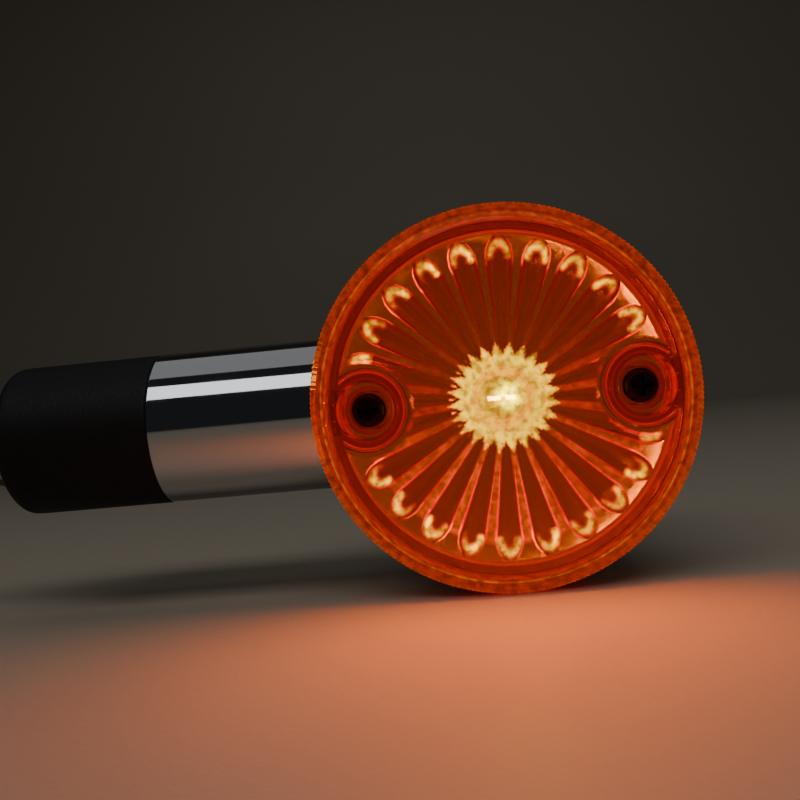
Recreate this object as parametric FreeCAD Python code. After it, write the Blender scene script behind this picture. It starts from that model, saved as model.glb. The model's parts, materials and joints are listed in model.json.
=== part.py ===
"""Turn signal indicator for a motorcycle, as separate pieces in millimetres.

+X runs from the bracket seat along the arm to the lamp, the lens faces -Y and +Z is up. The origin
is on the arm's axis at the bracket seat, which is the outer face of the stud washer.
Every piece is one function that returns its solid, and build_all writes one STEP file for each.
"""

import FreeCAD, Part
import math
import os

# ---- the lamp as a whole -------------------------------------------------------------------
LENS_RADIUS = 42.0  # outer edge of the lens flange
ARM_LENGTH = 80.0  # damper's end face to the lamp's own axis
ARM_RADIUS = 18.0
ARM_TO_FLANGE = 0.8  # arm's front to the back of the lens flange, along Y
DAMPER_LENGTH = 36.4
DAMPER_STEP = 0.2  # the arm stands this much proud of the damper, on the radius

# ---- stud, nut and washer ------------------------------------------------------------------
STUD_RADIUS = 5.0  # M10
STUD_REACH = 20.0  # free length past the bracket seat
STUD_BORE_RADIUS = 3.2  # wires pass through it
STUD_HEAD_RADIUS = 8.0
STUD_HEAD_THICKNESS = 3.0
STUD_CHAMFER = 0.8
STUD_NECK_RELIEF = 0.2  # the unthreaded neck inside the washer, nut and plate is this much smaller
NUT_FLATS = 17.0
NUT_THICKNESS = 6.0
NUT_CHAMFER = 0.9
WASHER_RADIUS = 10.5
WASHER_THICKNESS = 1.6
THREAD_CLEARANCE = 0.05  # running fit of a threaded piece, on the radius
HOLE_CLEARANCE = 0.25  # plain hole round a screw or stud, on the radius

# ---- rubber damper and its plate -----------------------------------------------------------
DAMPER_PLATE_EDGE = 3.3  # rubber left round the plate
DAMPER_PLATE_THICKNESS = 3.0
DAMPER_BORE_RADIUS = 4.0
DAMPER_SEAT_ROUND = 2.5
DAMPER_ARM_ROUND = 0.6

# ---- arm -----------------------------------------------------------------------------------
ARM_WALL = 2.0
ARM_END_ROUND = 0.5
INSERT_LENGTH = 12.0
GROMMET_RADIUS = 5.4
GROMMET_FLANGE_RADIUS = 7.0
GROMMET_FLANGE_THICKNESS = 1.5
INSERT_SCREW_RADIUS = 2.0
INSERT_SCREW_DEPTH = 6.5
INSERT_SCREW_RECESS = 0.4
HEX_SOCKET_FLATS = 2.0
PLUG_LENGTH = 10.0
ARM_BOLT_RADIUS = 7.0
ARM_BOLT_BORE_RADIUS = 5.0
ARM_BOLT_HEAD_FLATS = 16.4
ARM_BOLT_HEAD_THICKNESS = 2.6
SADDLE_WASHER_RADIUS = 9.4
SADDLE_WASHER_EDGE = 0.5  # thinnest part of the saddle washer

# ---- bowl and reflector --------------------------------------------------------------------
BOWL_OVERHANG = 1.0  # lens flange stands out past the bowl by this
BOWL_WALL = 1.6
BOWL_DOME_DEPTH = 36.0
DOME_STEPS = 12  # spans of the dome's curve
REFLECTOR_WALL = 1.0
REFLECTOR_TO_SKIRT = 0.4  # clear space between dish and bowl at the rim
REFLECTOR_LIP = 0.8  # thickness of the reflector's rim
REFLECTOR_FLOOR_SPARE = 0.5  # floor past the socket's flange, on the radius
REFLECTOR_FLOOR_BEHIND_RIM = 33.0
REFLECTOR_POST_GAP = 0.5
GASKET_THICKNESS = 0.8
GASKET_WIDTH = 3.6

# ---- lens ----------------------------------------------------------------------------------
LENS_FLANGE_THICKNESS = 2.2
LENS_FLANGE_WIDTH = 2.6
LENS_WALL = 2.6
LENS_CROWN = 7.0  # middle of the face ahead of the rim
LENS_SHOULDER = 4.2  # edge of the face ahead of the rim
LENS_SHOULDER_INSET = 2.4
SPIGOT_WALL = 1.8
SPIGOT_GAP = 1.0  # inside the gasket, on the radius
SPIGOT_DEPTH = 2.5

# ---- lens screws and their posts -----------------------------------------------------------
SCREW_SPACING = 59.0  # between the two screws' axes
SCREW_RADIUS = 2.0  # M4
SCREW_LENGTH = 14.8
SCREW_HEAD_RADIUS = 3.5
SCREW_HEAD_HEIGHT = 2.4
CROSS_WIDTH = 0.9
CROSS_SPAN = 4.4
CROSS_DEPTH = 1.5
ORING_THICKNESS = 0.8
WELL_RADIUS = 5.2
WELL_MOUTH_RADIUS = 6.5
WELL_WALL = 1.6
WELL_FLOOR = 3.2
WELL_FLOOR_BEHIND_RIM = 4.0
BOSS_REAR_RADIUS = 4.6
POST_RADIUS = 4.0
POST_GAP = 0.3  # between the lens boss and the post's end
POST_BORE_SPARE = 1.5

# ---- bulb ----------------------------------------------------------------------------------
GLOBE_RADIUS = 12.5
GLOBE_BEHIND_RIM = 17.0
GLASS_WALL = 0.7
NECK_RADIUS = 7.0
CAP_RADIUS = 7.5
CAP_START_BEHIND_GLOBE = 16.5
CAP_LENGTH = 17.0
GLASS_IN_CAP = 3.5
PIN_RADIUS = 1.0
PIN_REACH = 1.4
PIN_FROM_CAP_END = 7.5
INSULATOR_OVERLAP = 1.0
INSULATOR_REACH = 1.0
BULB_CONTACT_RADIUS = 2.5
BULB_CONTACT_HEIGHT = 1.0
FILAMENT_HALF_LENGTH = 3.6
FILAMENT_RADIUS = 0.6
SUPPORT_RADIUS = 0.35
SUPPORT_FOOT = 1.6
STEM_RADIUS = 3.0
STEM_TIP_BEHIND_GLOBE = 6.0

# ---- bulb socket ---------------------------------------------------------------------------
SOCKET_CLEARANCE = 0.2
SOCKET_WALL = 0.6
SOCKET_FLANGE_SPARE = 1.3  # flange past the rivets' circle
SOCKET_FLANGE_THICKNESS = 0.8
PIN_CLEARANCE = 0.35
BAYONET_TURN = 18.0  # degrees
BAYONET_PUSH = 2.5
RIVET_RADIUS = 0.9
RIVET_HEAD_RADIUS = 1.6
RIVET_HEAD_HEIGHT = 0.5
RIVET_TO_SHELL = 0.8  # rivet head to the shell
PLUNGER_GAP = 0.4
PLUNGER_THICKNESS = 2.0
PLUNGER_BUTTON_RADIUS = 2.6
PLUNGER_SEAT_RADIUS = 5.2
PLUNGER_SEAT_THICKNESS = 0.6
PLUNGER_PROUD = 0.5
SPRING_RADIUS = 4.6
SPRING_WIRE = 0.5
SPRING_SPACE = 3.9
BASE_THICKNESS = 2.0
TAG_THICKNESS = 0.6
TAG_WIDTH = 4.0
TAG_RIVET_RADIUS = 1.2
TAG_TO_BOWL = 0.9

# ---- wires ---------------------------------------------------------------------------------
WIRE_RADIUS = 1.1
WIRE_SPACING = 4.8
WIRE_TO_POST = 1.4
WIRE_LEAD_IN = 3.0  # depth in the bolt's bore where a wire is back in line
WIRE_TO_REFLECTOR = 2.7
ARC_SHARE = 0.45  # of the shorter run, taken by each bend

# ---- places that follow from the sizes -----------------------------------------------------
X = FreeCAD.Vector(1, 0, 0)
Y = FreeCAD.Vector(0, 1, 0)
Z = FreeCAD.Vector(0, 0, 1)

NUT_X = WASHER_THICKNESS
DAMPER_X = NUT_X + NUT_THICKNESS
ARM_X = DAMPER_X + DAMPER_LENGTH
LAMP_X = ARM_X + ARM_LENGTH

STUD_NECK_RADIUS = STUD_RADIUS - STUD_NECK_RELIEF
DAMPER_RADIUS = ARM_RADIUS - DAMPER_STEP
DAMPER_PLATE_RADIUS = DAMPER_RADIUS - DAMPER_PLATE_EDGE
RIM_Y = -(LENS_FLANGE_THICKNESS + ARM_TO_FLANGE + ARM_RADIUS)
LENS_SEAT_Y = RIM_Y + LENS_FLANGE_THICKNESS
GASKET_Y = LENS_SEAT_Y + GASKET_THICKNESS
BOWL_EDGE_Y = GASKET_Y + REFLECTOR_LIP
BOWL_RADIUS = LENS_RADIUS - BOWL_OVERHANG
BOWL_INNER_RADIUS = BOWL_RADIUS - BOWL_WALL
REFLECTOR_FRONT_RADIUS = BOWL_INNER_RADIUS - REFLECTOR_WALL - REFLECTOR_TO_SKIRT
FLOOR_Y = RIM_Y + REFLECTOR_FLOOR_BEHIND_RIM
SPIGOT_RADIUS = BOWL_RADIUS - GASKET_WIDTH - SPIGOT_GAP
WELL_FLOOR_Y = RIM_Y + WELL_FLOOR_BEHIND_RIM
BOSS_REAR_Y = WELL_FLOOR_Y + WELL_FLOOR
POST_Y = BOSS_REAR_Y + POST_GAP
SCREW_HEAD_Y = WELL_FLOOR_Y - ORING_THICKNESS
SCREW_TIP_Y = SCREW_HEAD_Y + SCREW_LENGTH

GLOBE_Y = RIM_Y + GLOBE_BEHIND_RIM
CAP_Y = GLOBE_Y + CAP_START_BEHIND_GLOBE
CAP_END_Y = CAP_Y + CAP_LENGTH
INSULATOR_END_Y = CAP_END_Y + INSULATOR_REACH
BULB_END_Y = INSULATOR_END_Y + BULB_CONTACT_HEIGHT
PIN_Y = CAP_END_Y - PIN_FROM_CAP_END
STEM_TIP_Y = GLOBE_Y + STEM_TIP_BEHIND_GLOBE
GLASS_INNER_RADIUS = NECK_RADIUS - GLASS_WALL

SOCKET_INNER_RADIUS = CAP_RADIUS + SOCKET_CLEARANCE
SOCKET_RADIUS = SOCKET_INNER_RADIUS + SOCKET_WALL
PIN_TIP_RADIUS = CAP_RADIUS + PIN_REACH
PIN_PASS_RADIUS = PIN_TIP_RADIUS + PIN_CLEARANCE
RIVET_CIRCLE_RADIUS = SOCKET_RADIUS + RIVET_HEAD_RADIUS + RIVET_TO_SHELL
SOCKET_FLANGE_RADIUS = RIVET_CIRCLE_RADIUS + SOCKET_FLANGE_SPARE
REFLECTOR_FLOOR_RADIUS = SOCKET_FLANGE_RADIUS + REFLECTOR_FLOOR_SPARE
FLANGE_Y = FLOOR_Y + REFLECTOR_WALL
PLUNGER_Y = BULB_END_Y + PLUNGER_PROUD
PLUNGER_SEAT_Y = PLUNGER_Y + PLUNGER_THICKNESS
SPRING_Y = PLUNGER_SEAT_Y + PLUNGER_SEAT_THICKNESS
BASE_Y = SPRING_Y + SPRING_SPACE
BASE_END_Y = BASE_Y + BASE_THICKNESS
TAG_END_Y = BASE_END_Y + TAG_THICKNESS
TAG_REACH = SOCKET_RADIUS + 2 * WIRE_RADIUS

# the dome's inside just clears the signal tag's outer end
DOME_Y = (
    TAG_END_Y
    + TAG_TO_BOWL
    - (BOWL_DOME_DEPTH - BOWL_WALL) * math.sqrt(1 - (TAG_REACH / BOWL_INNER_RADIUS) ** 2)
)
BOWL_BACK_Y = DOME_Y + BOWL_DOME_DEPTH

ARM_INNER_RADIUS = ARM_RADIUS - ARM_WALL
INSERT_END_X = ARM_X + INSERT_LENGTH
PLUG_X = LAMP_X - BOWL_RADIUS - PLUG_LENGTH
SADDLE_X = (
    LAMP_X
    - math.sqrt(BOWL_INNER_RADIUS**2 - SADDLE_WASHER_RADIUS**2)
    + SADDLE_WASHER_EDGE
)
WIRE_BESIDE_POST = POST_RADIUS + WIRE_RADIUS + WIRE_TO_POST
SIGNAL_TURN_Y = (PIN_Y + BASE_Y) / 2
SCREW_SIDES = (("left", -1), ("right", 1))


# ---- small makers --------------------------------------------------------------------------
def rod(radius, start, length, axis):
    """A cylinder from start along axis."""
    return Part.makeCylinder(radius, length, start, axis)


def along_x(radius, x_low, x_high, y=0.0, z=0.0):
    return rod(radius, FreeCAD.Vector(x_low, y, z), x_high - x_low, X)


def along_y(radius, y_low, y_high, x=None, z=0.0):
    start = FreeCAD.Vector(LAMP_X if x is None else x, y_low, z)
    return rod(radius, start, y_high - y_low, Y)


def ring_y(outer, inner, y_low, y_high):
    return along_y(outer, y_low, y_high).cut(along_y(inner, y_low, y_high))


def lamp_point(radius, y):
    """A point of a profile in the plane through the lamp's axis."""
    return FreeCAD.Vector(LAMP_X + radius, y, 0)


def turned(edges):
    """Revolves a closed profile about the lamp's axis."""
    face = Part.Face(Part.Wire(Part.__sortEdges__(edges)))
    return face.revolve(FreeCAD.Vector(LAMP_X, 0, 0), Y, 360)


def turned_polygon(points):
    corners = [lamp_point(radius, y) for radius, y in points]
    return turned([Part.makeLine(a, b) for a, b in zip(corners, corners[1:] + corners[:1])])


def smooth(points):
    """One smooth edge through the points, given as radius and Y."""
    curve = Part.BSplineCurve()
    curve.interpolate([lamp_point(radius, y) for radius, y in points])
    return curve.toShape()


def hexagon_x(flats, x_low, x_high):
    """A hexagonal bar along X with two flats level."""
    corner = flats / math.sqrt(3)
    points = []
    for step in range(7):
        angle = math.radians(60 * step)
        points.append(FreeCAD.Vector(x_low, corner * math.cos(angle), corner * math.sin(angle)))
    return Part.Face(Part.makePolygon(points)).extrude(X * (x_high - x_low))


def chamfered_disc_x(radius, x_low, x_high, chamfer):
    """A disc whose two ends taper, used to round a nut's corners."""
    blank = along_x(radius, x_low, x_high)
    rims = [edge for edge in blank.Edges if isinstance(edge.Curve, Part.Circle)]
    return blank.makeChamfer(chamfer, rims)


def screw_x(side):
    return LAMP_X + side * SCREW_SPACING / 2


def turned_about_lamp(shape, degrees):
    copy = shape.copy()
    copy.rotate(FreeCAD.Vector(LAMP_X, 0, 0), Y, degrees)
    return copy


# ---- mount side ----------------------------------------------------------------------------
def mount_stud():
    """Hollow stud with a plain neck and a round head that the damper is moulded round."""
    head_x = DAMPER_X + DAMPER_PLATE_THICKNESS
    shank = along_x(STUD_RADIUS, -STUD_REACH, 0)
    tip = [edge for edge in shank.Edges if edge.BoundBox.XMax < -STUD_REACH + 0.01]
    shank = shank.makeChamfer(STUD_CHAMFER, tip).fuse(along_x(STUD_NECK_RADIUS, 0, head_x))
    head = along_x(STUD_HEAD_RADIUS, head_x, head_x + STUD_HEAD_THICKNESS)
    bore = along_x(STUD_BORE_RADIUS, -STUD_REACH, head_x + STUD_HEAD_THICKNESS)
    return shank.fuse(head).removeSplitter().cut(bore)


def stud_washer():
    hole = along_x(STUD_NECK_RADIUS + HOLE_CLEARANCE, 0, WASHER_THICKNESS)
    return along_x(WASHER_RADIUS, 0, WASHER_THICKNESS).cut(hole)


def jam_nut():
    """Hexagon nut between the damper and the bracket."""
    corner = NUT_FLATS / math.sqrt(3)
    bar = hexagon_x(NUT_FLATS, NUT_X, DAMPER_X)
    rounded = bar.common(chamfered_disc_x(corner, NUT_X, DAMPER_X, NUT_CHAMFER))
    return rounded.cut(along_x(STUD_NECK_RADIUS + THREAD_CLEARANCE, NUT_X, DAMPER_X))


def damper_plate():
    """Steel disc bonded into the damper's seat end."""
    end_x = DAMPER_X + DAMPER_PLATE_THICKNESS
    hole = along_x(STUD_NECK_RADIUS, DAMPER_X, end_x)
    return along_x(DAMPER_PLATE_RADIUS, DAMPER_X, end_x).cut(hole)


def rubber_damper():
    """Round rubber block that lets the arm flex, bonded to its plate, the stud's head and the arm."""
    head_end = DAMPER_X + DAMPER_PLATE_THICKNESS + STUD_HEAD_THICKNESS
    block = along_x(DAMPER_RADIUS, DAMPER_X, ARM_X)
    seat_rim = [edge for edge in block.Edges if edge.BoundBox.XMax < DAMPER_X + 0.01]
    block = block.makeFillet(DAMPER_SEAT_ROUND, seat_rim)
    arm_rim = [edge for edge in block.Edges if edge.BoundBox.XMin > ARM_X - 0.01]
    block = block.makeFillet(DAMPER_ARM_ROUND, arm_rim)
    block = block.cut(along_x(DAMPER_PLATE_RADIUS, DAMPER_X, DAMPER_X + DAMPER_PLATE_THICKNESS))
    block = block.cut(along_x(STUD_HEAD_RADIUS, DAMPER_X, head_end))
    return block.cut(along_x(DAMPER_BORE_RADIUS, DAMPER_X, ARM_X))


# ---- arm -----------------------------------------------------------------------------------
def dome_edge(radius, depth):
    """Quarter ellipse from the skirt's end round to the lamp's axis."""
    points = []
    for step in range(DOME_STEPS + 1):
        angle = math.radians(90) * step / DOME_STEPS
        points.append(lamp_point(radius * math.cos(angle), DOME_Y + depth * math.sin(angle)))
    curve = Part.BSplineCurve()
    curve.interpolate(Points=points, InitialTangent=Y, FinalTangent=-X)
    return curve.toShape()


def bowl_solid(radius, depth, front_y):
    """A filled bowl: a round skirt from front_y back to a dome."""
    corners = [lamp_point(radius, DOME_Y), lamp_point(radius, front_y)]
    corners += [lamp_point(0, front_y), lamp_point(0, DOME_Y + depth)]
    lines = [Part.makeLine(a, b) for a, b in zip(corners, corners[1:])]
    return turned(lines + [dome_edge(radius, depth)])


def bowl_outside():
    """The bowl's outer surface as a solid, carried forward past the lens."""
    return bowl_solid(BOWL_RADIUS, BOWL_DOME_DEPTH, RIM_Y - LENS_RADIUS)


def bowl_inside():
    depth = BOWL_DOME_DEPTH - BOWL_WALL
    return bowl_solid(BOWL_INNER_RADIUS, depth, RIM_Y - LENS_RADIUS)


def insert_screw_hole():
    """The set screw's hole, up through the tube's underside."""
    start = FreeCAD.Vector(ARM_X + INSERT_LENGTH / 2, 0, -ARM_RADIUS - 1)
    return rod(INSERT_SCREW_RADIUS, start, INSERT_SCREW_RECESS + INSERT_SCREW_DEPTH + 1, Z)


def arm_insert():
    """Bonded disc in the arm's open end, holding the damper."""
    disc = along_x(ARM_INNER_RADIUS, ARM_X, INSERT_END_X)
    return disc.cut(along_x(GROMMET_RADIUS, ARM_X, INSERT_END_X)).cut(insert_screw_hole())


def insert_screw():
    """Set screw with a hexagon socket that locks the insert in the arm."""
    low = -ARM_RADIUS + INSERT_SCREW_RECESS
    start = FreeCAD.Vector(ARM_X + INSERT_LENGTH / 2, 0, low)
    screw = rod(INSERT_SCREW_RADIUS, start, INSERT_SCREW_DEPTH, Z)
    corner = HEX_SOCKET_FLATS / math.sqrt(3)
    points = []
    for step in range(7):
        angle = math.radians(60 * step)
        offset = FreeCAD.Vector(corner * math.cos(angle), corner * math.sin(angle), 0)
        points.append(start + offset)
    socket = Part.Face(Part.makePolygon(points)).extrude(Z * HEX_SOCKET_FLATS)
    return screw.cut(socket)


def wire_offset(side):
    return side * WIRE_SPACING / 2


def lead_grommet():
    """Rubber grommet in the insert's bore that holds both wires."""
    body = along_x(GROMMET_RADIUS, ARM_X, INSERT_END_X)
    flange_end = INSERT_END_X + GROMMET_FLANGE_THICKNESS
    body = body.fuse(along_x(GROMMET_FLANGE_RADIUS, INSERT_END_X, flange_end)).removeSplitter()
    for _, side in SCREW_SIDES:
        body = body.cut(along_x(WIRE_RADIUS, ARM_X, flange_end, 0, wire_offset(side)))
    return body


def arm_tube():
    """Plated tube, its end shaped to sit on the bowl's side."""
    tube = along_x(ARM_RADIUS, ARM_X, LAMP_X)
    rim = [edge for edge in tube.Edges if edge.BoundBox.XMax < ARM_X + 0.01]
    tube = tube.makeFillet(ARM_END_ROUND, rim)
    tube = tube.cut(along_x(ARM_INNER_RADIUS, ARM_X, LAMP_X))
    return tube.cut(bowl_outside()).cut(insert_screw_hole())


def arm_plug():
    """Threaded plug fixed in the tube at the bowl, for the hollow bolt."""
    plug = along_x(ARM_INNER_RADIUS, PLUG_X, LAMP_X).cut(bowl_outside())
    return plug.cut(along_x(ARM_BOLT_RADIUS, PLUG_X, LAMP_X))


def arm_bolt():
    """Hollow bolt from inside the bowl into the plug, with the wires through it."""
    head_end = SADDLE_X + ARM_BOLT_HEAD_THICKNESS
    bolt = along_x(ARM_BOLT_RADIUS, PLUG_X, SADDLE_X)
    head = hexagon_x(ARM_BOLT_HEAD_FLATS, SADDLE_X, head_end)
    bore = along_x(ARM_BOLT_BORE_RADIUS, PLUG_X, head_end)
    return bolt.fuse(head).removeSplitter().cut(bore)


def saddle_washer():
    """Washer with one curved side, between the bowl's wall and the bolt's flat head."""
    blank = along_x(SADDLE_WASHER_RADIUS, LAMP_X - BOWL_RADIUS, SADDLE_X).common(bowl_inside())
    hole = along_x(ARM_BOLT_RADIUS + HOLE_CLEARANCE, LAMP_X - BOWL_RADIUS, SADDLE_X)
    return blank.cut(hole)


# ---- bowl ----------------------------------------------------------------------------------
def housing():
    """Plated bowl: a short skirt and a deep rounded back, with the bolt's hole in its side."""
    inner_depth = BOWL_DOME_DEPTH - BOWL_WALL
    skirt = [(BOWL_RADIUS, DOME_Y), (BOWL_RADIUS, BOWL_EDGE_Y)]
    skirt += [(BOWL_INNER_RADIUS, BOWL_EDGE_Y), (BOWL_INNER_RADIUS, DOME_Y)]
    corners = [lamp_point(radius, y) for radius, y in skirt]
    edges = [Part.makeLine(a, b) for a, b in zip(corners, corners[1:])]
    edges.append(Part.makeLine(lamp_point(0, DOME_Y + inner_depth), lamp_point(0, BOWL_BACK_Y)))
    edges.append(dome_edge(BOWL_RADIUS, BOWL_DOME_DEPTH))
    edges.append(dome_edge(BOWL_INNER_RADIUS, inner_depth))
    shell = turned(edges)
    hole = along_x(ARM_BOLT_RADIUS + HOLE_CLEARANCE, LAMP_X - BOWL_RADIUS - 1, LAMP_X - BOWL_RADIUS / 2)
    return shell.cut(hole)


def screw_post(side):
    """Post from the bowl's back to just behind the lens boss, bored for the lens screw."""
    post = along_y(POST_RADIUS, POST_Y, BOWL_BACK_Y, screw_x(side)).common(bowl_inside())
    bore_end = SCREW_TIP_Y + POST_BORE_SPARE
    return post.cut(along_y(SCREW_RADIUS + THREAD_CLEARANCE, POST_Y, bore_end, screw_x(side)))


def dish_radius(y):
    """Radius of the reflector's parabola at y, from the rim to its flat floor."""
    rim, floor = REFLECTOR_FRONT_RADIUS**2, REFLECTOR_FLOOR_RADIUS**2
    return math.sqrt(rim + (floor - rim) * (y - GASKET_Y) / (FLOOR_Y - GASKET_Y))


def dish_height(radius):
    """Where along Y the reflector's parabola has this radius."""
    rim, floor = REFLECTOR_FRONT_RADIUS**2, REFLECTOR_FLOOR_RADIUS**2
    return GASKET_Y + (FLOOR_Y - GASKET_Y) * (radius**2 - rim) / (floor - rim)


def reflector():
    """Bright parabolic dish with a rim clamped under the gasket and holes for posts and socket."""
    steps = 12
    heights = [GASKET_Y + (FLOOR_Y - GASKET_Y) * i / steps for i in range(steps + 1)]
    inner = smooth([(dish_radius(y), y) for y in heights])
    outer_heights = [y for y in heights if y > BOWL_EDGE_Y]
    outer_points = [(dish_radius(BOWL_EDGE_Y) + REFLECTOR_WALL, BOWL_EDGE_Y)]
    outer_points += [(dish_radius(y) + REFLECTOR_WALL, y) for y in outer_heights]
    outer = smooth(outer_points)
    hole = PIN_PASS_RADIUS
    floor_outer = REFLECTOR_FLOOR_RADIUS + REFLECTOR_WALL
    chain = [(floor_outer, FLOOR_Y), (floor_outer, FLANGE_Y), (hole, FLANGE_Y), (hole, FLOOR_Y)]
    chain += [(REFLECTOR_FLOOR_RADIUS, FLOOR_Y)]
    rim = [(REFLECTOR_FRONT_RADIUS, GASKET_Y), (BOWL_RADIUS, GASKET_Y), (BOWL_RADIUS, BOWL_EDGE_Y)]
    rim += [outer_points[0]]
    edges = [inner, outer]
    for run in (chain, rim):
        corners = [lamp_point(radius, y) for radius, y in run]
        edges += [Part.makeLine(a, b) for a, b in zip(corners, corners[1:])]
    dish = turned(edges)
    for _, side in SCREW_SIDES:
        gap = POST_RADIUS + REFLECTOR_POST_GAP
        dish = dish.cut(along_y(gap, RIM_Y, FLOOR_Y, screw_x(side)))
    return dish.cut(rivet_shanks())


def lens_gasket():
    return ring_y(BOWL_RADIUS, BOWL_RADIUS - GASKET_WIDTH, LENS_SEAT_Y, GASKET_Y)


# ---- socket --------------------------------------------------------------------------------
def rivet_places():
    """The two socket rivets, level with the lamp's axis."""
    return [LAMP_X + side * RIVET_CIRCLE_RADIUS for _, side in SCREW_SIDES]


def rivet_shanks():
    ends = FLOOR_Y, FLANGE_Y + SOCKET_FLANGE_THICKNESS
    left, right = [along_y(RIVET_RADIUS, *ends, x) for x in rivet_places()]
    return left.fuse(right)


def socket_rivets():
    """Two rivets through the reflector's floor and the socket's flange."""
    low, high = FLOOR_Y, FLANGE_Y + SOCKET_FLANGE_THICKNESS
    rivets = []
    for x in rivet_places():
        rivet = along_y(RIVET_RADIUS, low, high, x)
        for start, end in ((low - RIVET_HEAD_HEIGHT, low), (high, high + RIVET_HEAD_HEIGHT)):
            rivet = rivet.fuse(along_y(RIVET_HEAD_RADIUS, start, end, x))
        rivets.append(rivet.removeSplitter())
    return Part.makeCompound(rivets)


def pin_way(turn_low, turn_high, y_low, y_high):
    """Space swept by the two bulb pins between two turns, from y_low to y_high."""
    reach = PIN_PASS_RADIUS
    pieces = []
    for start in (0, 180):
        slice_ = along_y(reach, y_low, y_high).cut(along_y(CAP_RADIUS / 2, y_low, y_high))
        middle = start + (turn_low + turn_high) / 2
        spread = (turn_high - turn_low) / 2
        spread += math.degrees((PIN_RADIUS + PIN_CLEARANCE) / SOCKET_INNER_RADIUS)
        wedge = Part.makeCylinder(
            reach + 1, y_high - y_low, FreeCAD.Vector(LAMP_X, y_low, 0), Y, 2 * spread
        )
        wedge = turned_about_lamp(wedge, wedge_turn(wedge, middle))
        pieces.append(slice_.common(wedge))
    return pieces[0].fuse(pieces[1])


def wedge_turn(wedge, middle):
    """How far to turn a wedge about the lamp's axis so that its middle lies at an angle from +Z."""
    centre = wedge.CenterOfMass
    now = math.degrees(math.atan2(centre.x - LAMP_X, centre.z))
    return middle - now


def socket_shell():
    """Bayonet shell with a riveted flange and two J slots for the bulb's pins."""
    shell = ring_y(SOCKET_RADIUS, SOCKET_INNER_RADIUS, FLOOR_Y, BASE_END_Y)
    flange_end = FLANGE_Y + SOCKET_FLANGE_THICKNESS
    flange = ring_y(SOCKET_FLANGE_RADIUS, SOCKET_RADIUS, FLANGE_Y, flange_end)
    shell = shell.fuse(flange).removeSplitter().cut(rivet_shanks())
    slot_low = PIN_Y - PIN_RADIUS - PIN_CLEARANCE
    slot_high = PIN_Y + PIN_RADIUS + PIN_CLEARANCE + BAYONET_PUSH
    shell = shell.cut(pin_way(-BAYONET_TURN, -BAYONET_TURN, FLOOR_Y, slot_high))
    return shell.cut(pin_way(-BAYONET_TURN, 0, slot_low, slot_high))


def socket_base():
    """Insulating disc that closes the shell's back."""
    disc = along_y(SOCKET_INNER_RADIUS, BASE_Y, BASE_END_Y)
    return disc.cut(along_y(TAG_RIVET_RADIUS, BASE_Y, BASE_END_Y))


def signal_terminal():
    """Brass tag riveted through the base, with the signal wire's end on it."""
    low = FreeCAD.Vector(LAMP_X - TAG_REACH, BASE_END_Y, -TAG_WIDTH / 2)
    tag = Part.makeBox(TAG_REACH + TAG_WIDTH / 2, TAG_THICKNESS, TAG_WIDTH, low)
    rivet = along_y(TAG_RIVET_RADIUS, BASE_Y - TAG_THICKNESS, TAG_END_Y)
    head = along_y(2 * TAG_RIVET_RADIUS, BASE_Y - TAG_THICKNESS, BASE_Y)
    return tag.fuse(rivet).fuse(head).removeSplitter()


def earth_terminal():
    """Brass tag held on the back of the socket's flange by its left rivet."""
    low_y = FLANGE_Y + SOCKET_FLANGE_THICKNESS + RIVET_HEAD_HEIGHT
    low = FreeCAD.Vector(LAMP_X - RIVET_CIRCLE_RADIUS - TAG_WIDTH, low_y, -TAG_WIDTH - TAG_WIDTH / 2)
    size = TAG_WIDTH + TAG_WIDTH / 2
    tag = Part.makeBox(size, TAG_THICKNESS, size, low)
    return tag.cut(along_y(SOCKET_RADIUS, low_y, low_y + TAG_THICKNESS))


# ---- plunger -------------------------------------------------------------------------------
def plunger_disc():
    """Insulating disc that slides in the shell behind the bulb."""
    disc = along_y(SOCKET_INNER_RADIUS - PLUNGER_GAP, PLUNGER_Y, PLUNGER_SEAT_Y)
    return disc.cut(along_y(PLUNGER_BUTTON_RADIUS, PLUNGER_Y, PLUNGER_SEAT_Y))


def plunger_contact():
    """Brass button through the disc, with the flange that the spring bears on."""
    button = along_y(PLUNGER_BUTTON_RADIUS, BULB_END_Y, PLUNGER_SEAT_Y)
    seat = along_y(PLUNGER_SEAT_RADIUS, PLUNGER_SEAT_Y, SPRING_Y)
    return button.fuse(seat).removeSplitter()


def contact_spring():
    """Envelope of the coil spring between the button and the base."""
    return ring_y(SPRING_RADIUS, SPRING_RADIUS - SPRING_WIRE, SPRING_Y, BASE_Y)


# ---- bulb ----------------------------------------------------------------------------------
def globe_edge(radius, join_radius, join_y):
    """Arc of the globe from its tip round to where the neck begins, and the join line's start."""
    join = lamp_point(join_radius, join_y)
    tip = lamp_point(0, GLOBE_Y - radius)
    side = lamp_point(radius, GLOBE_Y)
    return Part.Arc(tip, side, join).toShape()


def glass_edges(shrink):
    """Profile of the glass from its tip to its open end, moved inwards by shrink."""
    radius = GLOBE_RADIUS - shrink
    leave = math.radians(45)
    join = (radius * math.sin(leave), GLOBE_Y + radius * math.cos(leave))
    neck = NECK_RADIUS - shrink
    waist = (neck, (join[1] + join[0] - neck + CAP_Y) / 2)
    end = (neck, CAP_Y + GLASS_IN_CAP)
    arc = globe_edge(radius, *join)
    lines = [Part.makeLine(lamp_point(*a), lamp_point(*b)) for a, b in ((join, waist), (waist, end))]
    return [arc] + lines


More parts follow.
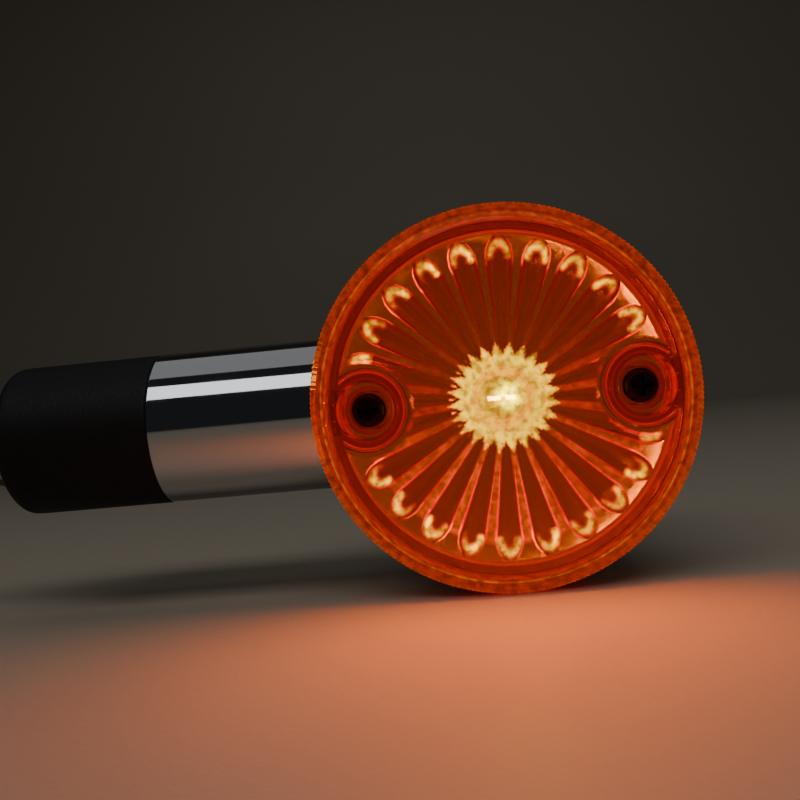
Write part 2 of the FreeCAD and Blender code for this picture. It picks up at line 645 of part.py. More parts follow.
def bulb_glass():
    """Clear blown envelope, open where it is cemented into the cap."""
    outer = glass_edges(0)
    inner = glass_edges(GLASS_WALL)
    end_y = CAP_Y + GLASS_IN_CAP
    mouth = Part.makeLine(lamp_point(NECK_RADIUS, end_y), lamp_point(GLASS_INNER_RADIUS, end_y))
    tip = GLOBE_Y - GLOBE_RADIUS
    crown = Part.makeLine(lamp_point(0, tip), lamp_point(0, tip + GLASS_WALL))
    return turned(outer + inner + [mouth, crown])


def bulb_stem():
    """Glass foot that seals the neck and carries the support wires."""
    end_y = CAP_Y + GLASS_IN_CAP
    points = [(0, end_y), (GLASS_INNER_RADIUS, end_y), (GLASS_INNER_RADIUS, end_y - 1)]
    points += [(STEM_RADIUS, CAP_Y - 1), (STEM_RADIUS, STEM_TIP_Y), (0, STEM_TIP_Y)]
    stem = turned_polygon(points)
    for _, side in SCREW_SIDES:
        stem = stem.cut(support_wire(side))
    return stem


def support_wire(side):
    """One filament support, from inside the foot out to the filament's end."""
    foot = FreeCAD.Vector(LAMP_X + side * SUPPORT_FOOT, STEM_TIP_Y + STEM_RADIUS, 0)
    top = FreeCAD.Vector(LAMP_X + side * FILAMENT_HALF_LENGTH, GLOBE_Y - SUPPORT_RADIUS, 0)
    return rod(SUPPORT_RADIUS, foot, (top - foot).Length, top - foot)


def bulb_supports():
    return Part.makeCompound([support_wire(side) for _, side in SCREW_SIDES])


def filament():
    """Envelope of the coiled filament, level between the supports."""
    coil = along_x(FILAMENT_RADIUS, LAMP_X - FILAMENT_HALF_LENGTH, LAMP_X + FILAMENT_HALF_LENGTH, GLOBE_Y)
    for _, side in SCREW_SIDES:
        coil = coil.cut(support_wire(side))
    return max(coil.Solids, key=lambda solid: solid.Volume)


def bulb_cap():
    """Thin metal cap round the glass neck."""
    return ring_y(CAP_RADIUS, NECK_RADIUS, CAP_Y, CAP_END_Y)


def bulb_pins():
    """The two bayonet pins, set in the cap's wall."""
    pins = []
    for side in (-1, 1):
        pin = rod(PIN_RADIUS, FreeCAD.Vector(LAMP_X, PIN_Y, 0), PIN_TIP_RADIUS, Z * side)
        pins.append(pin.cut(along_y(CAP_RADIUS, PIN_Y - PIN_RADIUS, PIN_Y + PIN_RADIUS)))
    return Part.makeCompound(pins)


def bulb_insulator():
    """Black glass disc in the cap's end."""
    inside = along_y(NECK_RADIUS, CAP_END_Y - INSULATOR_OVERLAP, CAP_END_Y)
    outside = along_y(CAP_RADIUS - SOCKET_WALL, CAP_END_Y, INSULATOR_END_Y)
    return inside.fuse(outside).removeSplitter()


def bulb_contact():
    """Solder contact on the insulator."""
    blank = along_y(BULB_CONTACT_RADIUS, INSULATOR_END_Y, BULB_END_Y)
    rim = [edge for edge in blank.Edges if edge.BoundBox.YMin > BULB_END_Y - 0.01]
    return blank.makeFillet(BULB_CONTACT_HEIGHT / 2, rim)


# ---- lens ----------------------------------------------------------------------------------
def face_height(radius):
    """How far the lens face's front stands ahead of the rim at a radius."""
    edge = LENS_RADIUS - LENS_FLANGE_WIDTH - LENS_SHOULDER_INSET
    return LENS_SHOULDER + (LENS_CROWN - LENS_SHOULDER) * (1 - (radius / edge) ** 2)


def lens_shell():
    """Domed face, sloping shoulder, flange and the spigot inside the gasket, as one turning."""
    shoulder = LENS_RADIUS - LENS_FLANGE_WIDTH
    edge = shoulder - LENS_SHOULDER_INSET
    steps = 8
    radii = [edge * i / steps for i in range(steps + 1)]
    front = smooth([(r, RIM_Y - face_height(r)) for r in radii])
    inner_edge = SPIGOT_RADIUS - SPIGOT_WALL
    inner_radii = [inner_edge * i / steps for i in range(steps + 1)]
    back = smooth([(r, RIM_Y - face_height(r) + LENS_WALL) for r in inner_radii])
    spigot_y = LENS_SEAT_Y + SPIGOT_DEPTH
    outside = [(edge, RIM_Y - face_height(edge)), (shoulder, RIM_Y), (LENS_RADIUS, RIM_Y)]
    outside += [(LENS_RADIUS, LENS_SEAT_Y), (SPIGOT_RADIUS, LENS_SEAT_Y), (SPIGOT_RADIUS, spigot_y)]
    outside += [(inner_edge, spigot_y), (inner_edge, RIM_Y - face_height(inner_edge) + LENS_WALL)]
    corners = [lamp_point(radius, y) for radius, y in outside]
    lines = [Part.makeLine(a, b) for a, b in zip(corners, corners[1:])]
    crown = RIM_Y - LENS_CROWN
    axis = Part.makeLine(lamp_point(0, crown), lamp_point(0, crown + LENS_WALL))
    return turned([front, back, axis] + lines)


def screw_well(side, grow=0.0):
    """A tapered well from in front of the lens down to the screw's seat."""
    front_y = RIM_Y - LENS_CROWN
    depth = WELL_FLOOR_Y - front_y
    start = FreeCAD.Vector(screw_x(side), front_y, 0)
    return Part.makeCone(WELL_MOUTH_RADIUS + grow, WELL_RADIUS + grow, depth, start, Y)


def lens():
    """Amber cap with two screw wells, its inner face left plain."""
    shell = lens_shell()
    for _, side in SCREW_SIDES:
        floor = FreeCAD.Vector(screw_x(side), WELL_FLOOR_Y, 0)
        boss_rear = Part.makeCone(WELL_RADIUS + WELL_WALL, BOSS_REAR_RADIUS, WELL_FLOOR, floor, Y)
        boss = screw_well(side, WELL_WALL).common(lens_front_space()).fuse(boss_rear)
        shell = shell.fuse(boss)
    for _, side in SCREW_SIDES:
        shell = shell.cut(screw_well(side))
        hole = along_y(SCREW_RADIUS + HOLE_CLEARANCE, WELL_FLOOR_Y, BOSS_REAR_Y, screw_x(side))
        shell = shell.cut(hole)
    return shell.removeSplitter()


def lens_front_space():
    """Everything behind the lens face's front, for trimming what rises through it."""
    edge = LENS_RADIUS - LENS_FLANGE_WIDTH - LENS_SHOULDER_INSET
    steps = 8
    radii = [edge * i / steps for i in range(steps + 1)]
    front = smooth([(r, RIM_Y - face_height(r)) for r in radii])
    corners = [(edge, RIM_Y - face_height(edge)), (edge, BOSS_REAR_Y), (0, BOSS_REAR_Y)]
    corners += [(0, RIM_Y - LENS_CROWN)]
    points = [lamp_point(radius, y) for radius, y in corners]
    return turned([front] + [Part.makeLine(a, b) for a, b in zip(points, points[1:])])


def screw_oring(side):
    """Sealing ring under the screw's head, which also keeps the screw in the lens."""
    ring = along_y(SCREW_HEAD_RADIUS + HOLE_CLEARANCE, SCREW_HEAD_Y, WELL_FLOOR_Y, screw_x(side))
    return ring.cut(along_y(SCREW_RADIUS + THREAD_CLEARANCE, SCREW_HEAD_Y, WELL_FLOOR_Y, screw_x(side)))


def lens_screw(side):
    """Pan head screw with a cross recess."""
    head_top = SCREW_HEAD_Y - SCREW_HEAD_HEIGHT
    x = screw_x(side)
    head = along_y(SCREW_HEAD_RADIUS, head_top, SCREW_HEAD_Y, x)
    rim = [edge for edge in head.Edges if edge.BoundBox.YMax < head_top + 0.01]
    head = head.makeFillet(SCREW_HEAD_HEIGHT / 2, rim)
    screw = head.fuse(along_y(SCREW_RADIUS, SCREW_HEAD_Y, SCREW_TIP_Y, x)).removeSplitter()
    for wide, tall in ((CROSS_SPAN, CROSS_WIDTH), (CROSS_WIDTH, CROSS_SPAN)):
        low = FreeCAD.Vector(x - wide / 2, head_top, -tall / 2)
        screw = screw.cut(Part.makeBox(wide, CROSS_DEPTH, tall, low))
    return screw


# ---- wires ---------------------------------------------------------------------------------
def rounded_path(points):
    """Straight runs joined by tangent arcs, one at each inner point."""
    edges = []
    start = points[0]
    for before, corner, after in zip(points, points[1:], points[2:]):
        run_in, run_out = corner - before, after - corner
        turn = run_in.getAngle(run_out)
        set_back = ARC_SHARE * min(run_in.Length, run_out.Length)
        radius = set_back / math.tan(turn / 2)
        way_in = run_in.multiply(1 / run_in.Length)
        way_out = run_out.multiply(1 / run_out.Length)
        arc_start = corner - way_in * set_back
        arc_end = corner + way_out * set_back
        towards = (way_out - way_in).normalize()
        middle = corner + towards * (radius / math.cos(turn / 2) - radius)
        edges.append(Part.LineSegment(start, arc_start).toShape())
        edges.append(Part.Arc(arc_start, middle, arc_end).toShape())
        start = arc_end
        print("bend radius", round(radius, 1))
    edges.append(Part.LineSegment(start, points[-1]).toShape())
    return Part.Wire(edges)


def wire_along(points):
    path = rounded_path(points)
    way = points[1] - points[0]
    ring = Part.Wire(Part.makeCircle(WIRE_RADIUS, points[0], way))
    tube = path.makePipeShell([ring], True, True)
    expected = math.pi * WIRE_RADIUS**2 * path.Length
    print("wire volume", round(tube.Volume / expected, 4), "of section times length")
    return tube


def lamp_vector(x, y, z):
    """A point given from the lamp's axis."""
    return FreeCAD.Vector(LAMP_X + x, y, z)


def way_into_arm(side):
    """The last points of a wire: beside the left post, into the hollow bolt and down the arm."""
    mouth = SADDLE_X + ARM_BOLT_HEAD_THICKNESS - LAMP_X
    post = screw_x(-1) - LAMP_X
    dish = math.hypot(post, WIRE_BESIDE_POST) - REFLECTOR_WALL - WIRE_RADIUS - WIRE_TO_REFLECTOR
    return [
        lamp_vector(post + WIRE_RADIUS, dish_height(dish), side * WIRE_BESIDE_POST),
        lamp_vector(mouth - WIRE_LEAD_IN, 0, wire_offset(side)),
        FreeCAD.Vector(ARM_X, 0, wire_offset(side)),
    ]


def signal_lead():
    """Signal wire, from its tag past the left post and down the arm to the grommet."""
    tag_x = -SOCKET_RADIUS - WIRE_RADIUS - HOLE_CLEARANCE
    post = screw_x(-1) - LAMP_X
    points = [
        lamp_vector(tag_x, BASE_END_Y, 0),
        lamp_vector(tag_x, SIGNAL_TURN_Y, 0),
        lamp_vector((tag_x + post) / 2, SIGNAL_TURN_Y / 2, WIRE_BESIDE_POST),
    ]
    return wire_along(points + way_into_arm(1))


def earth_lead():
    """Earth wire, from the flange's tag past the left post and down the arm to the grommet."""
    tag_y = FLANGE_Y + SOCKET_FLANGE_THICKNESS + RIVET_HEAD_HEIGHT + TAG_THICKNESS
    post = screw_x(-1) - LAMP_X
    points = [
        lamp_vector(-RIVET_CIRCLE_RADIUS - PIN_RADIUS, tag_y + WIRE_RADIUS, -TAG_WIDTH),
        lamp_vector((post - RIVET_CIRCLE_RADIUS) / 2, tag_y + WIRE_RADIUS, -WIRE_BESIDE_POST),
    ]
    return wire_along(points + way_into_arm(-1))


# ---- everything ----------------------------------------------------------------------------
MAKERS = [
    mount_stud,
    stud_washer,
    jam_nut,
    damper_plate,
    rubber_damper,
    arm_insert,
    insert_screw,
    lead_grommet,
    arm_tube,
    arm_plug,
    arm_bolt,
    saddle_washer,
    housing,
    reflector,
    lens_gasket,
    socket_shell,
    socket_rivets,
    socket_base,
    signal_terminal,
    earth_terminal,
    signal_lead,
    earth_lead,
    plunger_disc,
    plunger_contact,
    contact_spring,
    bulb_glass,
    bulb_stem,
    bulb_supports,
    filament,
    bulb_cap,
    bulb_pins,
    bulb_insulator,
    bulb_contact,
    lens,
]
SIDED_MAKERS = [screw_post, screw_oring, lens_screw]


def build_all():
    os.makedirs("parts", exist_ok=True)
    for make in MAKERS:
        make().exportStep("parts/" + make.__name__ + ".step")
    for make in SIDED_MAKERS:
        for name, side in SCREW_SIDES:
            make(side).exportStep("parts/" + make.__name__ + "_" + name + ".step")


build_all()
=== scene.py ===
"""Looks of a motorcycle turn signal indicator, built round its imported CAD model.

Metres throughout. +X runs from the bracket seat along the arm to the lamp, the lens faces -Y and
+Z is up. CAD pieces keep their shape and take a finish; the lens, damper, stud, contact spring and
filament are replaced by finer surfaces worked out here.
"""

import json
import math

import bmesh
import bpy
import numpy as np
from mathutils import Matrix, Vector
from mathutils.geometry import delaunay_2d_cdt


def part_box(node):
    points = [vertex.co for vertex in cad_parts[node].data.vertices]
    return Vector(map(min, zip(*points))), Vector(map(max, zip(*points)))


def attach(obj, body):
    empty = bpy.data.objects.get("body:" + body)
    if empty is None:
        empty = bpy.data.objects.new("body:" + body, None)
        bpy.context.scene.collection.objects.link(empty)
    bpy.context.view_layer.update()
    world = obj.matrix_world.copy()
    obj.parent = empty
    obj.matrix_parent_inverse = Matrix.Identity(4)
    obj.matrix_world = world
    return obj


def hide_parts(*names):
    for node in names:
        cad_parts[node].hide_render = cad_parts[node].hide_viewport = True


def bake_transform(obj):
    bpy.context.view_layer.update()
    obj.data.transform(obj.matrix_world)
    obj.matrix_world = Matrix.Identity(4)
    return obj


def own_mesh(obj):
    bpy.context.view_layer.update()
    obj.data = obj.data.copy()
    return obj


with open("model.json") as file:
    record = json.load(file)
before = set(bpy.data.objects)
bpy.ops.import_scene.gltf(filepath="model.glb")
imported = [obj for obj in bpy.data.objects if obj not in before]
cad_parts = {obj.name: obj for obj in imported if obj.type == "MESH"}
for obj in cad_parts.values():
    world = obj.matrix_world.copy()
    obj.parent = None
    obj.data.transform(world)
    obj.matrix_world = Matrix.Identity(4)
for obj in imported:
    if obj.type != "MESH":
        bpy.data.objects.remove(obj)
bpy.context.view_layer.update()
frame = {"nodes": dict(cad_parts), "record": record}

bl_info = {
    "name": "Turn signal indicator",
    "version": (1, 0, 0),
    "blender": (4, 5, 0),
    "location": "3D View > Sidebar > Indicator",
    "description": "Lens, damper, stud, bulb and finishes of a round motorcycle turn signal",
    "category": "Add Mesh",
}

MM = 0.001
FULL_TURN = 2 * math.pi

# ---- places taken from the CAD model -------------------------------------------------------
LENS_LOW, LENS_HIGH = (Vector(corner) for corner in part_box("lens"))
LAMP_X = (LENS_LOW.x + LENS_HIGH.x) / 2
LENS_RADIUS = (LENS_HIGH.x - LENS_LOW.x) / 2
CROWN_Y = LENS_LOW.y
BOSS_REAR_Y = LENS_HIGH.y
LENS_SEAT_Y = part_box("lens_gasket")[0][1]
WELL_FLOOR_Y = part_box("screw_oring_left")[1][1]
WELL_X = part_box("lens_screw_right")[0][0] / 2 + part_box("lens_screw_right")[1][0] / 2 - LAMP_X
STUD_LOW, STUD_HIGH = (Vector(corner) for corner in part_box("mount_stud"))
PLATE_HIGH = Vector(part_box("damper_plate")[1])
DAMPER_LOW, DAMPER_HIGH = (Vector(corner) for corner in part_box("rubber_damper"))
SPRING_LOW, SPRING_HIGH = (Vector(corner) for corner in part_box("contact_spring"))
COIL_LOW, COIL_HIGH = (Vector(corner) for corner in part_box("filament"))
GLOBE_LOW, GLOBE_HIGH = (Vector(corner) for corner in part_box("bulb_glass"))
GLOBE_RADIUS = (GLOBE_HIGH.x - GLOBE_LOW.x) / 2
FLOOR_Z = -LENS_RADIUS

# ---- the lens moulding ---------------------------------------------------------------------
LENS_MESH_STEP = 0.45 * MM
CROWN = 7.0 * MM  # middle of the face ahead of the flange
SHOULDER = 4.2 * MM  # edge of the face ahead of the flange
FACE_RADIUS = 37.0 * MM
SHOULDER_RADIUS = 39.4 * MM
SPIGOT_RADIUS = 36.4 * MM
SPIGOT_INNER_RADIUS = 35.4 * MM
SPIGOT_END_Y = LENS_SEAT_Y + 2.5 * MM
SPIGOT_MIDDLE = 35.9 * MM
STEP_GAP = 0.05 * MM  # width in the plan of a wall that stands square to it
SEAT_GAP = 0.02 * MM  # between the flange and the gasket
SLOPE_RINGS = (37.6, 38.2, 38.8)  # mesh rings between the face and the flange
BULLSEYE_RADIUS = 9.2 * MM
FLUTE_INNER_RADIUS = 11.8 * MM  # lands begin
FLUTE_INNER_END = 2.9 * MM
FLUTE_OUTER_RADIUS = 29.9 * MM  # lands end
FLUTE_TIP_RADIUS = 34.4 * MM
FLUTE_ROUNDNESS = 0.94
FLUTE_TURN = math.radians(-3.2)  # first flute's middle, from the arm's axis
BEAD_HEIGHT = 0.3 * MM
BEAD_RADIUS = 39.55 * MM
BEAD_WIDTH = 0.2 * MM
BOSS_RADIUS = 6.8 * MM
BOSS_REAR_RADIUS = 4.6 * MM
WELL_RADIUS = 5.2 * MM
WELL_SLOPE = 11.0 / 1.3
WELL_RING_RADIUS = 9.9 * MM
WELL_HOLE_RADIUS = 2.25 * MM
WELL_FADE = 0.9 * MM
BOSS_RISE = 3.0 * MM  # of the inner face, where it meets a boss
WELL_RINGS = (2.25, 2.7, 3.2, 3.8, 4.3, 4.6, 5.0, 5.2, 5.3, 5.45, 5.6, 5.75, 5.9, 6.05, 6.2, 6.35, 6.5)
BOSS_RINGS = (6.75, 6.85, 7.0, 7.3, 7.7, 8.1, 8.6, 9.1, 9.6, 9.9)
WELL_STEPS = 96
WHOLE_RING = 7.0  # larger rings than this one are cut off at the spigot
WELL_CLEARING = 7.1 * MM  # plain mesh points stay this far from a well's middle
RING_GAP = 0.2 * MM  # and this far outside its outermost ring
SPIGOT_GAP = 0.1 * MM  # from the lands' ends and from the spigot
BOSS_GAP = 0.15 * MM  # between a boss's rings and the spigot
CURVE_GAP = 0.06  # share of a flute left clear of points on each side of its end curve
CURVE_STEPS = 25
DELAUNAY_MERGE = 1e-7
FLANGE_RINGS = (39.4, 39.5, 39.6, 39.7, 39.85, 40.0, 40.3, 40.8, 41.4, 41.8)
RIM_TEETH = 240
RIM_STEPS = 4 * RIM_TEETH
TOOTH_DEPTH = 0.25 * MM
TOOTH_GROOVE = 0.15 * MM
GROOVE_FADE = 0.5 * MM

# ---- painted glow on the lens, standing in for the bulb's light gathered in the moulding; one is the full painted glow of a flute's end ---
PAINTED_GLOW_SEED = 7
PAINTED_GLOW_REACH = 0.6  # across a flute's end
PAINTED_GLOW_SPREAD = 0.17
PAINTED_GLOW_START = -0.25  # along a flute's end, nought at its start and one at its tip
PAINTED_GLOW_FADE = 0.3
PAINTED_GLOW_LEAST = 0.6
PAINTED_GLOW_MOST = 1.4
PAINTED_LAND_GLOW = 0.045
LAND_START = 0.86  # reach
LAND_BLUR = 0.12
LAND_LEVEL = 0.6  # share of the flutes' outer radius, above which lands are dark
LAND_FADE = 0.3
PAINTED_STAR_GLOW = 0.32
PAINTED_STAR_MIDDLE_GLOW = 0.17
STAR_MIDDLE = 7.0 * MM
STAR_MIDDLE_BLUR = 1.2 * MM
STAR_FOOT = 9.0 * MM
STAR_TIP = 11.3 * MM
STAR_BLUR = 0.35 * MM
PAINTED_HOT_SPOT_GLOW = 1.6
PAINTED_HOT_SPOT = (0.9 * MM, 0.4 * MM)  # from the lens's middle, where a painted hot spot stands in for the filament shining through
PAINTED_HOT_SPOT_RADIUS = 2.3 * MM
# painted highlights on the lens front's bead and rim
PAINTED_BEAD_HIGHLIGHT = 0.05
PAINTED_RIM_HIGHLIGHT = 0.02
BEHIND = 0.2 * MM  # points this far behind the front are on the inner face
RED_UP_TO = 0.02  # painted glow that is still the deep inner colour
YELLOW_FROM = 0.19
DAPPLE = (0.35, 1.5)
HAZE_REACH = 1.9  # in globe radii from the bulb's tip
HAZE_RISE = 1.6

# ---- damper, stud, spring and coil ---------------------------------------------------------
DAMPER_STEPS = 360
DAMPER_BORE_RINGS = 24
DAMPER_OUTER_RINGS = 50
DAMPER_SEAT_ROUND = 2.5 * MM
DAMPER_ARM_ROUND = 0.6 * MM
DAMPER_BORE = 4.0 * MM
PARTING_HEIGHT = 0.12 * MM
PARTING_WIDTH = 0.45 * MM
STUD_NECK = 4.8 * MM
STUD_THREAD = 5.0 * MM
STUD_BORE = 3.2 * MM
STUD_CHAMFER = 0.8 * MM
STUD_STEPS = 96
THREAD_STEP = 0.1 * MM
THREAD_DEPTH = 0.61  # of the pitch, as are the run-outs
THREAD_RUN_OUT = 1.5
FLANK_SLOPE = 1.3
CREST_FLAT = 0.15
SPRING_WIRE = 0.2 * MM
SPRING_STEPS = 48  # a turn
SPRING_FLAT = 0.8  # share of the climb that slows at the spring's ends
COIL_WIRE = 0.1 * MM
COIL_STEPS = 28
COIL_SIDES = 6

# ---- view and light ------------------------------------------------------------------------
CAMERA_PLACE = (0.1173, -0.2189, 0.0004)
CAMERA_FORWARD = (-0.078, 0.997, 0.006)
CAMERA_UP = (0.093, 0.001, 0.996)
CAMERA_LENS = 41.4
CAMERA_CLIP = 0.01
FLOOR_BACK = 1.5
FLOOR_FRONT = -1.6
FLOOR_SWEEP = 0.7
FLOOR_WALL = 2.4
FLOOR_HALF_WIDTH = 2.6
FLOOR_TURN_STEPS = 25
WHITE = "#FFFFFF"
LIGHTS = {  # place, aim, width and height, watts and colour
    "front_softbox": ((0.02, -0.52, 0.76), (0.06, 0, 0), (1.1, 0.34), 1.9, WHITE),
    "overhead_fill": ((0.1, 0.5, 1.6), (0.1, 0.5, 0), (2.0, 1.4), 1.9, WHITE),
    "lens_glow": (
        (LAMP_X, CROWN_Y - 4 * MM, -4 * MM),
        (LAMP_X, -1, -0.5),
        (0.06, 0.06),
        0.15,
        "#FF7404",
    ),
}
ROOM_COLOUR = "#8A8D92"
ROOM_STRENGTH = 0.05


def srgb(code):
    """A hex colour as the linear red, green, blue and alpha that Blender works in."""
    values = [int(code[i : i + 2], 16) / 255 for i in (1, 3, 5)]
    linear = [v / 12.92 if v <= 0.04045 else ((v + 0.055) / 1.055) ** 2.4 for v in values]
    return (*linear, 1.0)


# ---- what a user may change ----------------------------------------------------------------
def length_setting(name, description, default):
    """A length that is shown in the scene's units."""
    return bpy.props.FloatProperty(
        name=name, description=description, default=default, unit="LENGTH", subtype="DISTANCE", precision=5
    )


def share_setting(name, description, default, least, most):
    """A share between two limits."""
    return bpy.props.FloatProperty(
        name=name, description=description, default=default, min=least, max=most, subtype="FACTOR"
    )


def number_setting(name, description, default):
    """A plain number."""
    return bpy.props.FloatProperty(name=name, description=description, default=default)


def colour_setting(name, description, default):
    """A linear colour with alpha."""
    return bpy.props.FloatVectorProperty(
        name=name, description=description, default=default, size=4, subtype="COLOR", min=0, max=1
    )


class IndicatorSizes(bpy.types.PropertyGroup):
    """Sizes of the pieces made here."""

    flute_count: bpy.props.IntProperty(
        name="Flutes", description="Radial flutes inside the lens", default=24, min=8, max=48
    )
    flute_rise: share_setting("Flute rise", "Height of a flute as a share of its width", 0.25, 0.05, 0.45)
    flute_share: share_setting(
        "Flute share", "Share of the face that a flute takes, the rest being flat land", 0.78, 0.3, 0.95
    )
    lens_wall: length_setting("Lens wall", "Thickness of the lens between its flutes", 2.6 * MM)
    bullseye_hollow: length_setting(
        "Bull's-eye hollow", "How much thinner the lens is at its middle", 0.4 * MM
    )
    thread_pitch: length_setting("Thread pitch", "Pitch of the stud's thread", 1.25 * MM)
    spring_turns: number_setting("Spring turns", "Turns of the contact spring", 2.4)
    coil_turns: number_setting("Filament turns", "Turns of the filament", 20.0)


class IndicatorColours(bpy.types.PropertyGroup):
    """Colours and glow of the finishes."""

    amber: colour_setting("Amber", "What passes through the lens acrylic", (0.989, 0.70, 0.0, 1.0))
    amber_depth: number_setting("Amber depth", "Absorption density of the acrylic, per metre", 1700.0)
    # Painted glow: a faint red emission over the whole lens, standing in for light that the lit acrylic
    # scatters.
    painted_inner_glow: colour_setting(
        "Inner glow", "Light that the lit acrylic scatters from within", srgb("#FF4202")
    )
    painted_inner_glow_strength: number_setting(
        "Inner glow strength", "How strongly the lit acrylic scatters", 0.055
    )
    # Painted glow: the yellow emission where the lens's painted attribute is high, at the flutes' ends,
    # star and hot spot.
    painted_bright_glow: colour_setting(
        "Gathered glow", "Bulb light gathered in the flutes' ends", (0.42, 1.0, 0.05, 1.0)
    )
    painted_bright_glow_strength: number_setting(
        "Gathered glow strength", "How brightly the flutes' ends shine", 9.0
    )
    rubber: colour_setting("Rubber", "Damper rubber", srgb("#121212"))
    chrome: colour_setting("Chrome", "Plated bowl and arm", srgb("#D3D5D8"))
    glow: number_setting("Bulb glow", "Light that the bulb's glass scatters", 0.1)
    filament_glow: number_setting("Filament glow", "Light of the hot filament", 450.0)
    floor: colour_setting("Floor", "Pale studio floor", srgb("#BFB4A2"))


# ---- node and mesh helpers -----------------------------------------------------------------
def add(tree, kind, inputs=None, **attributes):
    """Adds one node, sets its attributes, and gives each input a value or a link from a socket."""
    node = tree.nodes.new(kind)
    for key, value in attributes.items():
        setattr(node, key, value)
    for key, value in (inputs or {}).items():
        if isinstance(value, bpy.types.NodeSocket):
            tree.links.new(value, node.inputs[key])
        else:
            node.inputs[key].default_value = value
    return node


def new_finish(name, colour, roughness, metallic=0.0, **sockets):
    """A material with its Principled shader set, returned with its tree and shader."""
    material = bpy.data.materials.new(name)
    material.use_nodes = True
    tree = material.node_tree
    shader = tree.nodes["Principled BSDF"]
    shader.inputs["Base Color"].default_value = colour
    shader.inputs["Roughness"].default_value = roughness
    shader.inputs["Metallic"].default_value = metallic
    for key, value in sockets.items():
        shader.inputs[key.replace("_", " ")].default_value = value
    return material, tree, shader


def mottle(tree, shader, grain, roughness=None, shades=None, relief=0.0, stretch=(1, 1, 1)):
    """Noise whose grain is a real size in metres: roughness between two values, colour between two
    shades, and a relief in metres, each only where given. Stretch draws the grain out."""
    place = add(tree, "ShaderNodeTexCoord").outputs["Object"]
    spread = add(tree, "ShaderNodeMapping", {"Vector": place, "Scale": stretch}).outputs["Vector"]
    noise = add(tree, "ShaderNodeTexNoise", {"Vector": spread, "Scale": 1 / grain, "Detail": 4.0})
    level = noise.outputs["Fac"]
    if roughness:
        low, high = roughness
        span = add(
            tree,
            "ShaderNodeMapRange",
            {"Value": level, "From Min": 0.3, "From Max": 0.7, "To Min": low, "To Max": high},
        )
        tree.links.new(span.outputs["Result"], shader.inputs["Roughness"])
    if shades:
        ramp = add(tree, "ShaderNodeValToRGB", {"Fac": level})
        ramp.color_ramp.elements[0].position = 0.35
        ramp.color_ramp.elements[1].position = 0.65
        ramp.color_ramp.elements[0].color = shades[0]
        ramp.color_ramp.elements[1].color = shades[1]
        tree.links.new(ramp.outputs["Color"], shader.inputs["Base Color"])
    if relief:
        bump = add(tree, "ShaderNodeBump", {"Height": level, "Distance": relief, "Strength": 1.0})
        tree.links.new(bump.outputs["Normal"], shader.inputs["Normal"])
    return noise


def piece(name, points, faces, material, crease=30.0):
    """A closed mesh from arrays of points and faces: doubles merged, normals turned outwards, and
    edges sharper than the crease angle left sharp."""
    mesh = bpy.data.meshes.new(name)
    mesh.from_pydata(np.asarray(points).tolist(), [], faces)
    work = bmesh.new()
    work.from_mesh(mesh)
    bmesh.ops.remove_doubles(work, verts=work.verts, dist=0.001 * MM)
    bmesh.ops.recalc_face_normals(work, faces=work.faces)
    loose = sum(1 for edge in work.edges if len(edge.link_faces) != 2)
    work.to_mesh(mesh)
    work.free()
    if loose:
        raise RuntimeError(f"{name} isn't closed: {loose} edges don't join two faces")
    mesh.polygons.foreach_set("use_smooth", np.ones(len(mesh.polygons), dtype=bool))
    mesh.set_sharp_from_angle(angle=math.radians(crease))
    mesh.materials.append(material)
    made = bpy.data.objects.new(name, mesh)
    bpy.context.scene.collection.objects.link(made)
    return made


def grid_faces(rows, columns, wrap_rows):
    """Quads of a grid whose columns close on themselves, and whose rows do too if asked."""
    row = np.arange(rows if wrap_rows else rows - 1)[:, None]
    column = np.arange(columns)[None, :]
    after_row, after_column = (row + 1) % rows, (column + 1) % columns
    corners = (
        row * columns + column,
        row * columns + after_column,
        after_row * columns + after_column,
        after_row * columns + column,
    )
    return np.stack(corners, axis=-1).reshape(-1, 4).tolist()


def round_x(x, radius, angle):
    """Points of a surface about the arm's axis: X as given, Y and Z the radius times the angle's
    cosine and sine."""
    x, radius, angle = np.broadcast_arrays(x, radius, angle)
    return np.stack([x, radius * np.cos(angle), radius * np.sin(angle)], axis=-1).reshape(-1, 3)


def arc(centre, radius, start, end, steps=7):
    """Profile points on a circle's arc, each the centre plus the radius along an angle in degrees."""
    angle = np.radians(np.linspace(start, end, steps))
    return [(centre[0] + radius * math.cos(a), centre[1] + radius * math.sin(a)) for a in angle]


def wire(path, normal, radius, steps=10):
    """A round wire along a path: at each point a circle of the wire's radius in the plane of the
    normal and of the path's direction crossed with it. Both ends close to a point."""
    way = np.gradient(path, axis=0)
    way /= np.linalg.norm(way, axis=1, keepdims=True)
    across = np.cross(way, normal)
    across /= np.linalg.norm(across, axis=1, keepdims=True)
    side = np.cross(across, way)
    angle = np.arange(steps) * FULL_TURN / steps
    size = np.full(len(path), radius)
    size[[0, -1]] = 0.0
    cosine, sine = np.cos(angle)[None, :, None], np.sin(angle)[None, :, None]
    ring = across[:, None] * cosine + side[:, None] * sine
    points = path[:, None] + size[:, None, None] * ring
    return points.reshape(-1, 3), grid_faces(len(path), steps, False)


def settle(made, body, slot, *nodes):
    """A finished piece rides its body and stands for its CAD nodes; its slot argument is not used."""
    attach(made, body)
    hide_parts(*nodes)


# ---- finishes ------------------------------------------------------------------------------
def chrome_plate(colours):
    """Decorative chrome over polished steel: a mirror, with faint wiping haze."""
    material, tree, shader = new_finish("chrome_plated_steel", colours.chrome, 0.05, 1.0)
    mottle(tree, shader, 9 * MM, roughness=(0.03, 0.075))
    return material


